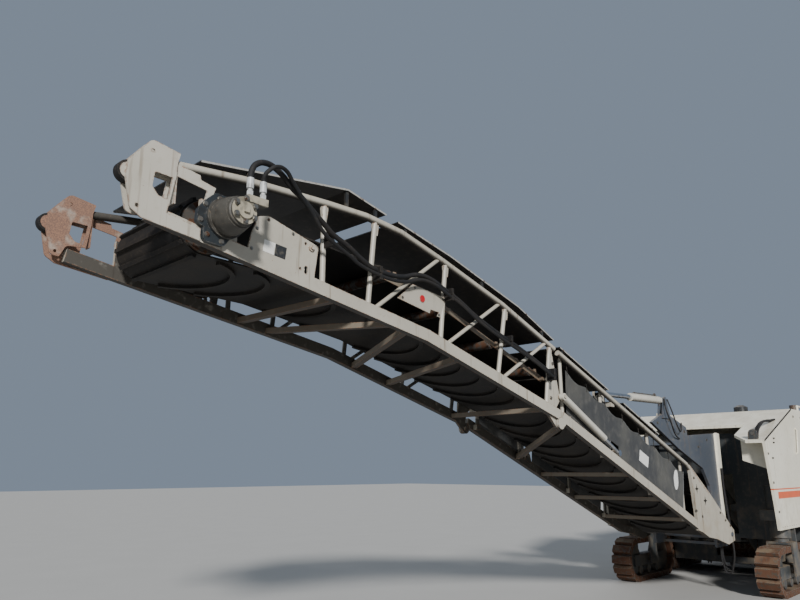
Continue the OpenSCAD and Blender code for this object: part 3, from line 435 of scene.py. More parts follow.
@dataclass(frozen=True)
class Chrome(Finish):
    """Hard chrome on a ground rod: a mirror with a fine grain and a film of oil."""

    def make(self) -> bpy.types.Material:
        """Builds a mirror with oil on it."""
        s = Surface(self.name, "#c9ccd0", 0.12)
        s.layer(s.fade(s.spots(60, 5), 0.5, 0.7, (0, 0.5)), "#85796a", 0.4)
        s.bump(s.spots(1.5, 2), 0.05, 0.05)
        return s.finish(Metallic=1.0)


@dataclass(frozen=True)
class Plastic(Finish):
    """Moulded plastic with a fine grain, dusty where it faces up."""

    tone: str

    def make(self) -> bpy.types.Material:
        """Builds a grained, dusty moulding."""
        s = Surface(self.name, self.tone, 0.5)
        s.layer(s.fade(s.spots(150, 4), 0.4, 0.7, (0, 0.2)), "#4b4842", 0.7)
        up = s.upward((0, 0.45))
        s.layer(s.both(up, s.fade(s.spots(80, 5), 0.35, 0.65)), "#8c7d67", 0.9)
        s.bump(s.spots(1.2, 3), 0.3, 0.15)
        return s.finish()


@dataclass(frozen=True)
class Casting(Finish):
    """Sand-cast iron under paint and oil, with a pebbled skin."""

    tone: str
    oil: float = 0.4
    bands: tuple[Band, ...] = ()

    def make(self) -> bpy.types.Material:
        """Builds an oily painted casting with dry dust and rubbed edges."""
        s = Surface(self.name, self.tone, 0.55)
        for band in self.bands:
            s.layer(s.inside(band.limits), band.colour, 0.4)
        s.layer(s.fade(s.spots(80, 6), 0.45, 0.65, (0, self.oil)), "#1f1b17", 0.3)
        s.layer(s.fade(s.spots(16, 5), 0.6, 0.75, (0, 0.5)), "#7a6a55", 0.85)
        s.layer(s.both(s.edges(4), s.fade(s.spots(18, 3), 0.45, 0.6, (0, 0.7))), "#8b867e", 0.5)
        s.bump(s.spots(4, 4), 0.45, 0.6)
        return s.finish()


@dataclass(frozen=True)
class Cloth(Finish):
    """Coated canvas: a plain weave under a rubbed, dusty coat, with prints that are left blank.

    The weave is drawn coarser than a real canvas has it, so that it shows at all.
    """

    tone: str
    thread_mm: float = 3.158
    prints: tuple[Patch, ...] = ()

    def make(self) -> bpy.types.Material:
        """Builds dust, prints, weave and small folds."""
        s = Surface(self.name, self.tone, 0.7)
        s.layer(s.fade(s.spots(420, 5), 0.35, 0.7, (0, 0.5)), "#5a5850", 0.8)
        s.layer(s.fade(s.spots(70, 6, (1, 1, 0.7)), 0.5, 0.75, (0, 0.35)), "#63605a", 0.85)
        for patch in self.prints:
            worn = s.fade(s.spots(30, 6), 0.28, 0.36)
            s.layer(s.both(s.print(patch), worn), patch.colour, 0.6)
        # A wave texture turns once in a twentieth of a full circle's length
        scale = math.tau / 20 * 1000 / self.thread_mm
        threads = [add(s.tree, "ShaderNodeTexWave", {"Vector": s.place, "Scale": scale},
                       bands_direction=way).outputs["Fac"] for way in "XZ"]
        weave = add(s.tree, "ShaderNodeMath", dict(enumerate(threads)), operation="MAXIMUM").outputs[0]
        s.bump(weave, 0.15, 0.3)
        s.bump(s.spots(150, 4, (0.7, 1, 1.3)), 0.8, 14)
        s.bump(s.spots(38, 3), 0.3, 2)
        return s.finish(Sheen_Weight=0.15, Specular_IOR_Level=0.3)


@dataclass(frozen=True)
class Film(Finish):
    """Vinyl sticker film: even, slightly glossy, scratched and dusty; nothing is printed on it."""

    tone: str

    def make(self) -> bpy.types.Material:
        """Builds a scuffed film."""
        s = Surface(self.name, self.tone, 0.3)
        s.layer(s.fade(s.spots(35, 6), 0.5, 0.75, (0, 0.35)), "#8c8270", 0.7)
        s.layer(s.fade(s.spots(6, 4, (1, 1, 0.1)), 0.66, 0.72, (0, 0.5)), "#6f675a", 0.8)
        s.bump(s.spots(12, 3), 0.1, 0.2)
        return s.finish(Coat_Weight=0.2)


@dataclass(frozen=True)
class Upholstery(Finish):
    """Vinyl-coated upholstery with a fine grain, polished in patches by use."""

    tone: str
    grain_mm: float = 2.5

    def make(self) -> bpy.types.Material:
        """Builds a grained cover."""
        s = Surface(self.name, self.tone, 0.5)
        s.layer(s.fade(s.spots(160, 4), 0.4, 0.7, (0, 0.4)), "#3a3936", 0.35)
        s.layer(s.fade(s.spots(50, 6), 0.55, 0.75, (0, 0.4)), "#6a6256", 0.8)
        cells = add(s.tree, "ShaderNodeTexVoronoi", {"Vector": s.place, "Scale": 1000 / self.grain_mm})
        s.bump(cells.outputs["Distance"], 0.3, 0.3)
        return s.finish(Specular_IOR_Level=0.4)


CREAM = "#e4decb"
SAND = "#a7a193"
ORANGE = "#d8561f"

# A thin and a wide stripe on each side panel, by their low edge, high edge and front end
STRIPES = tuple(Band(ORANGE, ((Axis.WIDTH, *side), (Axis.LENGTH, -3.6, end), (Axis.HEIGHT, low, high)))
                for side in ((1.2, 1.3), (-1.3, -1.2))
                for low, high, end in ((1.448, 1.466, -1.7), (1.325, 1.42, -1.93)))

# Scorched steel of the exhaust, black plastic of the air intake's cap
PIPES = (Band("#4d3e34", ((Axis.LENGTH, -6.40, -6.20), (Axis.WIDTH, 0.40, 0.60), (Axis.HEIGHT, 2.606, 3.2))),
         Band("#2b2c2d", ((Axis.LENGTH, -5.86, -5.54), (Axis.WIDTH, -0.46, -0.14),
                          (Axis.HEIGHT, 2.835, 3.2))))

# Cream edge down the mast's column: a painted highlight where the sun catches its flange
MAST_HIGHLIGHT = Band(CREAM, ((Axis.LENGTH, -2.02, -1.86), (Axis.WIDTH, 0.4695, 0.51), (Axis.HEIGHT, 0.9, 2.3)))

# Gearbox, end of the motor, and the hose fittings on top of it
MOTOR_BANDS = (Band("#2a2f32", ((Axis.WIDTH, 0.6, 0.7),)),
               Band("#a39b88", ((Axis.WIDTH, 0.905, 1.0), (Axis.HEIGHT, 3.1, 3.395))),
               Band("#b9bab8", ((Axis.WIDTH, 0.84, 1.0), (Axis.HEIGHT, 3.395, 3.6))))

FINISHES: dict[str, Finish] = {
    # Dark and even, so that the frame reads as what carries the rest
    "chassis": Enamel("ChassisEnamelGrey", "#343738", "#434545", 0.45, 0.5, 0.7, 0.5),
    # Bright and smooth: it is what the eye takes for the machine's own colour
    "body": Enamel("BodyEnamelCream", CREAM, "#d9d2be", 0.32, 0.15, 0.3, 0.3, bands=STRIPES + PIPES),
    # Warm grey with rust at its edges: steelwork that has carried years of asphalt, with painted shade below
    # and on its inner faces
    "conveyor": Enamel("ConveyorEnamelSand", SAND, "#b2ac9e", 0.45, 0.75, 0.4, 0.95, chip_mm=12,
                       soot_and_shade="#241e19", tar_and_shade=0.9),
    # Dull brown under a crust of bitumen, and darker than the conveyor's paint as painted shade, so that the
    # braces sink back behind the side frames
    "brace": Enamel("BraceEnamelTarredShaded", "#7d7364", "#685d4f", 0.6, 0.8, 0.5, 0.9, chip_mm=12,
                    soot_and_shade="#3a3026"),
    # Pale plate on the left and rusty plate on the right, which has lost its paint in the photograph
    "head": Enamel("HeadEnamelSand", "#aca698", "#b8b2a5", 0.45, 0.8, 0.4, 0.7, chip_mm=12,
                   bare="#6f574c", flake="#94705a", rusty=((Axis.WIDTH, -1.0, 0.0),)),
    # Blue-grey, a cool plane between the warm conveyor and the cream body
    "mast": Enamel("MastEnamelSlate", "#454b54", "#525860", 0.4, 0.3, 0.4, 0.4, bands=(MAST_HIGHLIGHT,)),
    # The darkest surface, against which the pale frame stands out; only its cleats' edges are grey
    "belt": Rubber("ConveyorBeltRubber", "#110f0e", 0.4, 0.45),
    # Flat black with no gleam: buffers, seams and catches read as gaps in the paint; on the door seams and
    # behind the louvres it is painted shade
    "rubber": Rubber("BufferRubber", "#151414", 0.4, 0.4),
    # Smooth black with a grey film, so that the hoses stand out from the belt
    "hose": Rubber("HydraulicHoseRubber", "#17181a", 0.35, 0.3),
    # Scoured grey between rust: a drum that cuts, and then stands idle
    "drum": WornSteel("DrumSteelWorn", "#5d5853", worn=0.35),
    # Mottled grey and brown with bright rims, heavier to the eye than the painted sheet
    "plate": WornSteel("WearPlateSteel", "#57544f", worn=0.45, metallic=0.4),
    # Brown and dry, with dust in every joint, so that the tracks look as heavy as they are
    "track": WornSteel("TrackSteelRusty", "#4a4037", worn=0.2, metallic=0.3, dust=0.7),
    # Small bright points that give the plates their scale
    "zinc": WornSteel("FastenerZinc", "#8f8d86", worn=0.75, roughness=0.35, metallic=0.9, dust=0.3),
    # Smooth and pale, a clean line across the dark gap over the mast
    "cylinder": Enamel("CylinderEnamelPale", "#bdb8aa", "#cac6ba", 0.3, 0.25, 0.4, 0.5),
    # The only mirror on the machine, a thin bright streak where a cylinder runs out
    "rod": Chrome("HardChromeRod"),
    # Painted shade: a pale sheet coloured black as its shaded underside looks, whose rubbed edges show pale
    # from the side
    "cover": Enamel("CoverSheetShadeBlack", "#1d1e1f", "#282929", 0.5, 0.3, 0.28, 0.3, chip_mm=5, bare="#8b857a"),
    # A dull grey block that stays in the shade of its housing
    "engine": Casting("EngineCasting", "#4b4e50"),
    # Oily dark iron with a pale end and bright fittings, where the eye stops at the conveyor's tip
    "motor": Casting("MotorCastingGrey", "#45423c", 0.5, MOTOR_BANDS),
    # Grained black that takes dust and gives no gloss
    "console": Plastic("ConsoleMoulding", "#242526"),
    # Dark cloth whose slack folds catch the light, with two blank labels
    "canvas": Cloth("CanvasCoatedGrey", "#2f3031", prints=(
        Patch("#d9d8d3", (0.872, 1.856), (0.245, 0.135), 21),
        Patch("#d9d8d3", (-0.025, 1.60), (0.135, 0.255), 12, True))),
    # Black with a low gleam on the crown of each pad
    "seat": Upholstery("SeatVinylBlack", "#1c1c1d"),
    # Bright cut edge of the sheet, the lightest line of the conveyor
    "trim": WornSteel("SheetEdgeAluminium", "#c9c6bd", worn=0.85, roughness=0.4, metallic=0.5, dust=0.2),
    # Cleaner and flatter than the paint round it, as a sticker is
    "white_film": Film("LabelFilmWhite", "#e3e1da"),
    # The same film in black, a dark square beside the white one
    "dark_film": Film("LabelFilmDark", "#2a2b2c"),
    # A small spot of signal red on the pale reflector plate
    "red_film": Film("ReflectorRed", "#b3121b"),
    # Deep red with a skin of dust: lamps that are off
    "red_lens": Plastic("LampLensRed", "#8e1015"),
}

# Nodes that take each finish, by the start of their names
NODES_OF = {
    "chassis": "main_frame front_wall leg_sleeves rear_bumper platform feed_frame drum_housing carrier "
               "grilles",
    "body": "front_body rear_body engine_hood handrails",
    "conveyor": "conveyor_rear conveyor_front lift_yoke fold_lugs reflector_plates",
    "brace": "cross_braces", "head": "head_plates", "mast": "mast", "rubber": "head_bumpers",
    "belt": "feed_belt belt_rear belt_front", "hose": "hoses_front", "drum": "milling_drum",
    "plate": "feed_drums side_plate moldboard tail_drum head_drum", "track": "track",
    "cylinder": "lift_barrels fold_barrels", "rod": "lift_rods fold_rods",
    "cover": "covers_rear covers_front",
    "engine": "engine_block", "motor": "conveyor_motor", "console": "consoles", "canvas": "side_canvas",
    "seat": "seats",
}
NODE_FINISH = {start: finish for finish, starts in NODES_OF.items() for start in starts.split()}

# Route of the motor's hoses, in mm, as in the part's source
HOSE_A = ((6860, 893, 3512), (6860, 893, 3530), (6855, 895, 3570), (6825, 895, 3620), (6745, 890, 3655),
          (6630, 870, 3640), (6480, 835, 3570), (6395, 815, 3545), (6280, 790, 3490), (6155, 765, 3435),
          (6050, 745, 3385), (5880, 720, 3340), (5700, 700, 3270), (5580, 690, 3235), (5440, 685, 3225),
          (5265, 685, 3235), (5045, 685, 3295), (4890, 685, 3285), (4730, 685, 3235), (4545, 685, 3175),
          (4290, 685, 3065), (3430, 680, 2805), (3076, 680, 2683))
HOSE_B = ((6762, 893, 3512), (6762, 893, 3525), (6765, 905, 3555), (6740, 930, 3600), (6690, 935, 3635),
          (6610, 920, 3640), (6520, 885, 3590), (6430, 860, 3530), (6310, 830, 3455), (6170, 800, 3345),
          (6020, 775, 3290), (5880, 755, 3250), (5770, 740, 3215), (5580, 728, 3185), (5440, 722, 3175),
          (5265, 722, 3185), (5045, 722, 3245), (4890, 722, 3235), (4730, 722, 3185), (4545, 722, 3125),
          (4290, 722, 3015), (3430, 720, 2755), (3076, 720, 2633))


class Paintshop:
    """Makes each finish once and gives it to the pieces that take it."""

    def __init__(self) -> None:
        """Starts with no finish made."""
        self.made: dict[str, bpy.types.Material] = {}

    def material(self, key: str) -> bpy.types.Material:
        """Gives the material of a finish, made the first time it is asked for."""
        if key not in self.made:
            self.made[key] = FINISHES[key].make()
        return self.made[key]

    def node(self, name: str) -> None:
        """Gives a node of the frame its finish."""
        key = max((start for start in NODE_FINISH if name.startswith(start)), key=len)
        coat = self.material(NODE_FINISH[key])
        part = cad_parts[name]
        if not part.material_slots:
            part.data.materials.append(coat)
        for holder in part.material_slots:
            holder.material = coat
        LOG.info("%s: %s", name, coat.name)


class Bench:
    """Turns meshes into pieces: names them, paints them and lets them ride on their body."""

    def __init__(self, shop: Paintshop) -> None:
        """Keeps the paintshop at hand."""
        self.shop = shop

    def piece(self, name: str, mesh: bpy.types.Mesh, body: str, finish: str,
              smooth: bool = True) -> bpy.types.Object:
        """Makes a piece.

        Args:
            name: the piece's name.
            mesh: its mesh, in the frame's own place.
            body: the body that it rides on.
            finish: the key of its finish.
            smooth: whether its faces are shaded smooth up to 35 degrees.

        Returns:
            The piece.
        """
        piece = bpy.data.objects.new(name, mesh)
        bpy.context.scene.collection.objects.link(piece)
        mesh.materials.clear()
        mesh.materials.append(self.shop.material(finish))
        if smooth:
            mesh.shade_smooth()
            mesh.set_sharp_from_angle(angle=math.radians(35))
        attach(piece, body)
        LOG.info("%s on %s: %s", name, body, finish)
        return piece

    def solid(self, name: str, shape: bmesh.types.BMesh, body: str, finish: str, edge: float = 0,
              smooth: bool = True) -> bpy.types.Object:
        """Makes a piece of a shape, and rounds its edges over that width where one is given."""
        mesh = bpy.data.meshes.new(name)
        shape.to_mesh(mesh)
        shape.free()
        piece = self.piece(name, mesh, body, finish, smooth)
        if edge:
            bevel = piece.modifiers.new("edge", "BEVEL")
            bevel.width = edge
            bevel.segments = 2
            self.bake(piece)
        return piece

    def grow(self, name: str, mesh: bpy.types.Mesh, tree: bpy.types.NodeTree, values: dict, body: str,
             place: Point = (0, 0, 0)) -> bpy.types.Object:
        """Runs a Geometry Nodes group and gives what it makes as a piece.

        Args:
            name: the piece's name.
            mesh: what the group starts from.
            tree: the group.
            values: the inputs that differ from the group's own, by name.
            body: the body that the piece rides on.
            place: how far its mesh is moved at the end.

        Returns:
            The piece.
        """
        piece = bpy.data.objects.new(name, mesh)
        bpy.context.scene.collection.objects.link(piece)
        work = piece.modifiers.new("nodes", "NODES")
        work.node_group = tree
        names = {item.name: item.identifier for item in tree.interface.items_tree if item.in_out == "INPUT"}
        for label, value in values.items():
            work[names[label]] = value
        self.bake(piece)
        piece.data.transform(Matrix.Translation(place))
        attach(piece, body)
        LOG.info("%s on %s", name, body)
        return piece

    def bake(self, piece: bpy.types.Object) -> None:
        """Turns a piece's modifiers into its mesh."""
        graph = bpy.context.evaluated_depsgraph_get()
        mesh = bpy.data.meshes.new_from_object(piece.evaluated_get(graph), preserve_all_data_layers=True,
                                               depsgraph=graph)
        piece.modifiers.clear()
        piece.data = mesh


class Sort(Enum):
    """The sorts of fastener: sides, head radius, head height and washer radius in metres."""

    BOLT = (6, 0.015, 0.011, 0.019)
    SMALL_BOLT = (6, 0.009, 0.007, 0.012)
    RIVET = (12, 0.006, 0.003, 0.006)
    EYELET = (16, 0.008, 0.003, 0.013)


@dataclass
class Fasteners:
    """Fasteners of one sort on one body, set by Geometry Nodes on the spots that carry them."""

    body: str
    sort: Sort
    spots: list[tuple[Point, Point]] = field(default_factory=list)
    seed: int = 11
    washer_thick: float = 0.004

    def row(self, start: Point, end: Point, count: int, way: Point) -> None:
        """Adds a row of spots from start to end."""
        self.spots += [(tuple(lerp(start, end, i / (count - 1))), way) for i in range(count)]

    def left(self, y: float, *places: Pair) -> None:
        """Adds spots on the left side, facing out, each by its x and z."""
        self.spots += [((x, y, z), (0, 1, 0)) for x, z in places]

    def both(self, y: float, *places: Pair) -> None:
        """Adds spots on the left side, facing out, and their mirror images."""
        for x, z in places:
            self.spots += [((x, side * y, z), (0, side, 0)) for side in SIDES.values()]

    def tree(self) -> bpy.types.NodeTree:
        """Builds the node group, with its sizes as named inputs."""
        sides, radius, height, washer = self.sort.value
        tree = start_group(f"fasteners_{self.sort.name.lower()}", {
            "Sides": sides, "Head radius": radius, "Head height": height, "Washer radius": washer,
            "Seed": self.seed})
        given = add(tree, "NodeGroupInput").outputs
        head = add(tree, "GeometryNodeMeshCylinder", {
            "Vertices": given["Sides"], "Radius": given["Head radius"], "Depth": given["Head height"]})
        disc = add(tree, "GeometryNodeMeshCylinder", {
            "Vertices": 20, "Radius": given["Washer radius"], "Depth": self.washer_thick})
        lift = add(tree, "ShaderNodeMath", {0: given["Head height"], 1: 0.5}, operation="MULTIPLY").outputs[0]
        up = add(tree, "ShaderNodeCombineXYZ", {"Z": lift}).outputs[0]
        raised = add(tree, "GeometryNodeTransform", {"Geometry": head.outputs["Mesh"], "Translation": up})
        both = add(tree, "GeometryNodeJoinGeometry", {0: raised.outputs[0]})
        tree.links.new(disc.outputs["Mesh"], both.inputs[0])
        way = add(tree, "GeometryNodeInputNamedAttribute", {"Name": "way"},
                  data_type="FLOAT_VECTOR").outputs[0]
        # Each head is turned about its own axis by up to a sixth of a circle
        spin = add(tree, "FunctionNodeRandomValue", {2: 0.0, 3: 1.05, "Seed": given["Seed"]},
                   data_type="FLOAT").outputs[1]
        turn = add(tree, "ShaderNodeCombineXYZ", {"Z": spin}).outputs[0]
        facing = add(tree, "FunctionNodeAlignRotationToVector", {"Vector": way}, axis="Z").outputs[0]
        about = add(tree, "FunctionNodeEulerToRotation", {0: turn}).outputs[0]
        turned = add(tree, "FunctionNodeRotateRotation", {0: facing, 1: about}, rotation_space="LOCAL")
        placed = add(tree, "GeometryNodeInstanceOnPoints", {
            "Points": given["Geometry"], "Instance": both.outputs[0], "Rotation": turned.outputs[0]})
        end_group(tree, placed.outputs[0], given["Material"])
        return tree

    def build(self, bench: Bench, name: str = "") -> bpy.types.Object:
        """Sets the fasteners and gives them as one piece, named for its body where no name is given."""
        mesh = bpy.data.meshes.new(name or f"{self.body}_{self.sort.name.lower()}")
        mesh.from_pydata([spot for spot, _ in self.spots], [], [])
        ways = mesh.attributes.new("way", "FLOAT_VECTOR", "POINT")
        for i, (_, way) in enumerate(self.spots):
            ways.data[i].vector = way
        return bench.grow(mesh.name, mesh, self.tree(), {"Material": bench.shop.material("zinc")}, self.body)


@dataclass
class Tubing:
    """A hose, cable or rail along smooth paths, with a round section."""

    name: str
    body: str
    radius: float
    finish: str = "hose"
    sides: int = 10
    straight: bool = False

    def build(self, bench: Bench, *paths: list[Point]) -> bpy.types.Object:
        """Sweeps the section along each path and gives one piece."""
        curve = bpy.data.curves.new(self.name, "CURVE")
        curve.dimensions = "3D"
        curve.bevel_depth = self.radius
        curve.bevel_resolution = self.sides // 4
        curve.use_fill_caps = True
        for path in paths:
            line = curve.splines.new("BEZIER")
            line.bezier_points.add(len(path) - 1)
            line.resolution_u = 6
            for knot, place in zip(line.bezier_points, path):
                knot.co = place
                knot.handle_left_type = knot.handle_right_type = "VECTOR" if self.straight else "AUTO"
        holder = bpy.data.objects.new(self.name, curve)
        bpy.context.scene.collection.objects.link(holder)
        graph = bpy.context.evaluated_depsgraph_get()
        mesh = bpy.data.meshes.new_from_object(holder.evaluated_get(graph), depsgraph=graph)
        bpy.data.objects.remove(holder)
        return bench.piece(self.name, mesh, self.body, self.finish)


@dataclass
class Plates:
    """Thin plates, each from its outline and the place of its back on the axis that it faces along."""

    name: str
    body: str
    finish: str
    thick: float = 0.0015
    faces: Axis = Axis.WIDTH
    both: bool = False

    def twins(self, place: float, outline: Outline) -> list[tuple[float, Outline]]:
        """Gives a plate, and its mirror image on the machine's other side where there is one."""
        if not self.both:
            return [(place, outline)]
        if self.faces is Axis.WIDTH:
            return [(place, outline), (-place, outline)]
        return [(place, outline), (place, [(-a, b) for a, b in outline])]

    def build(self, bench: Bench, *plates: tuple[float, Outline]) -> bpy.types.Object:
        """Makes the plates and gives one piece.

        Args:
            bench: where the piece is made.
            plates: for each plate, the place of its back and its outline. On the width, a negative place
                faces it to the right.

        Returns:
            The piece.
        """
        shape = bmesh.new()
        wide = self.faces is Axis.WIDTH
        for place, outline in [twin for plate in plates for twin in self.twins(*plate)]:
            front = place + (math.copysign(self.thick, place) if wide else self.thick)
            face = shape.faces.new([shape.verts.new((a, place, b) if wide else (place, a, b))
                                    for a, b in outline])
            grown = bmesh.ops.extrude_face_region(shape, geom=[face])
            for vertex in grown["geom"]:
                if isinstance(vertex, bmesh.types.BMVert):
                    vertex.co[self.faces.value] = front
        bmesh.ops.recalc_face_normals(shape, faces=shape.faces)
        return bench.solid(self.name, shape, self.body, self.finish, smooth=False)


@dataclass
class SideCanvas:
    """The canvas along the conveyor's rear half: laced to the top tube, slack between its eyelets."""

    low_rear: Pair = (-0.170, 1.185)
    low_front: Pair = (2.640, 2.240)
    top_rear: Pair = (-0.290, 1.700)
    top_front: Pair = (2.610, 2.760)
    # Where the top tube starts, and how it falls to the rear
    tube_front: Pair = (2.810, 2.920)
    tube_fall: float = 1.120 / 3.110
    inner_y: float = 0.5850
    # The cloth's least and greatest distance from there
    slack: Pair = (0.0, 0.0045)
    thick: float = 0.0012
    sag: float = 0.045
    ties: int = 7
    columns: int = 112
    rows: int = 26
    # Cut-out for the fold cylinder: its ends and its height, as shares
    notch: Point = (0.603, 0.673, 0.30)
    # Size of the cut cloth
    flat: Pair = (2.95, 0.55)

    def spot(self, u: float, v: float) -> Pair:
        """Gives x and z at the share u of the length and v of the height."""
        place = lerp(lerp(self.low_rear, self.low_front, u), lerp(self.top_rear, self.top_front, u), v)
        return place.x, place.y - self.sag * abs(math.sin(math.pi * u * self.ties)) ** 1.5 * v ** 3

    def depth(self, u: float, v: float) -> float:
        """Gives how far the cloth stands out: folds that fan from the eyelets, and a slack belly."""
        phase = u * self.ties
        fan = math.sin(math.pi * 6 * phase + 5 * v * math.sin(math.pi * phase)) * v ** 2
        belly = math.sin(math.pi * v) * (0.5 + 0.5 * math.sin(9.4 * u + 2.1 * v + 0.6))
        crease = math.sin(21 * u + 13 * v) * math.sin(math.pi * v)
        return 0.0022 * fan + 0.0030 * belly + 0.0016 * crease

    def tube_z(self, x: float) -> float:
        """Gives the height of the rear half's top tube."""
        return self.tube_front[1] - self.tube_fall * (self.tube_front[0] - x)

    def drape(self, side: int) -> bmesh.types.BMesh:
        """Shapes one side's cloth, with its notch."""
        shape = bmesh.new()
        grid = {}
        for i in range(self.columns + 1):
            for j in range(self.rows + 1):
                u, v = i / self.columns, j / self.rows
                x, z = self.spot(u, v)
                out = max(self.slack[0], min(self.slack[1], 0.002 + self.depth(u, v)))
                grid[i, j] = shape.verts.new((x, side * (self.inner_y + out), z))
        for i in range(self.columns):
            for j in range(self.rows):
                u, v = (i + 0.5) / self.columns, (j + 0.5) / self.rows
                if not (self.notch[0] < u < self.notch[1] and v < self.notch[2]):
                    corners = [grid[i, j], grid[i + 1, j], grid[i + 1, j + 1], grid[i, j + 1]]
                    shape.faces.new(corners if side < 0 else corners[::-1])
        loose = [vertex for vertex in shape.verts if not vertex.link_faces]
        bmesh.ops.delete(shape, geom=loose, context="VERTS")
        return shape

    def build(self, bench: Bench) -> None:
        """Hangs both canvases, with their eyelets and lacing."""
        lacing = []
        for name, side in SIDES.items():
            shape = self.drape(side)
            area = sum(face.calc_area() for face in shape.faces)
            cloth = bench.solid(f"canvas_{name}", shape, "conveyor_rear", "canvas")
            shell = cloth.modifiers.new("thickness", "SOLIDIFY")
            shell.thickness = self.thick
            shell.offset = -1
            bench.bake(cloth)
            if side > 0:
                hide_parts("side_canvas")
            eyes = Fasteners("conveyor_rear", Sort.EYELET)
            for i in range(self.ties + 1):
                x, z = self.spot(0.012 + 0.976 * i / self.ties, 0.965)
                tube = self.tube_z(x)
                eyes.spots.append(((x, side * 0.5900, z), (0, side, 0)))
                lacing.append([(x, side * 0.5915, z), (x + 0.004, side * 0.5870, (z + tube) / 2),
                               (x + 0.010, side * 0.5870, tube + 0.01)])
            holes = eyes.build(bench, f"canvas_{name}_eyelets")
        Tubing("canvas_lacing", "conveyor_rear", 0.004, "rubber", 6).build(bench, *lacing)


@dataclass
class Seats:
    """Two seats: a padded cushion and back with seams, on a shell and a pedestal."""

    centre: Pair = (-4.475, 0.875)
    floor: float = 1.750
    rise: float = 0.42
    width: float = 0.44

    def pad(self, name: str, centre: Point, thick: float, tilt: float, bench: Bench) -> bpy.types.Object:
        """Makes one pad: a box with full faces, drawn in at its edges and along its seams."""
        size = (self.width, self.width, thick)
        shape = bmesh.new()
        bmesh.ops.create_cube(shape, size=1)
        bmesh.ops.subdivide_edges(shape, edges=shape.edges[:], cuts=13, use_grid_fill=True)
        turn = Matrix.Rotation(tilt, 3, "Y")
        for vertex in shape.verts:
            x, y, z = (2 * c for c in vertex.co)
            full = (1 - x ** 4) * (1 - y ** 4)
            seam = 0.10 * math.exp(-(abs(y) - 0.55) ** 2 / 0.004) + 0.07 * math.exp(-x ** 2 / 0.006)
            round_x, round_y = x * (1 - 0.06 * y ** 4), y * (1 - 0.06 * x ** 4)
            height = z * (0.62 + 0.38 * full - seam * (z > 0))
            place = Vector((round_x * size[0], round_y * size[1], height * size[2])) / 2
            vertex.co = turn @ place + Vector(centre)
        pad = bench.solid(name, shape, "chassis", "seat")
        return pad

    def shell(self, name: str, y: float, z: float, bench: Bench) -> None:
        """Makes the moulded pan and back, the pedestal and its foot."""
        shape = bmesh.new()
        bmesh.ops.create_cone(shape, cap_ends=True, segments=40, radius1=0.060, radius2=0.050, depth=0.36,
                              matrix=Matrix.Translation((-4.48, y, self.floor + 0.18)))
        add_box(shape, (-4.70, y - 0.20, z - 0.06), (-4.27, y + 0.20, z + 0.012))
        add_box(shape, (-4.785, y - 0.19, z - 0.02), (-4.770, y + 0.19, z + 0.50))
        add_box(shape, (-4.60, y - 0.12, self.floor), (-4.36, y + 0.12, self.floor + 0.012))
        bench.solid(name, shape, "chassis", "console", 0.006)

    def build(self, bench: Bench) -> None:
        """Builds the seats in place of the plain ones."""
        x, z = self.centre[0], self.floor + self.rise
        for name, side in SIDES.items():
            y = side * self.centre[1]
            cushion = self.pad(f"seat_cushion_{name}", (x, y, z + 0.06), 0.10, 0, bench)
            self.pad(f"seat_back_{name}", (x - 0.26, y, z + 0.30), 0.085, -math.pi / 2, bench)
            if side > 0:
                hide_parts("seats")
            self.shell(f"seat_shell_{name}", y, z, bench)


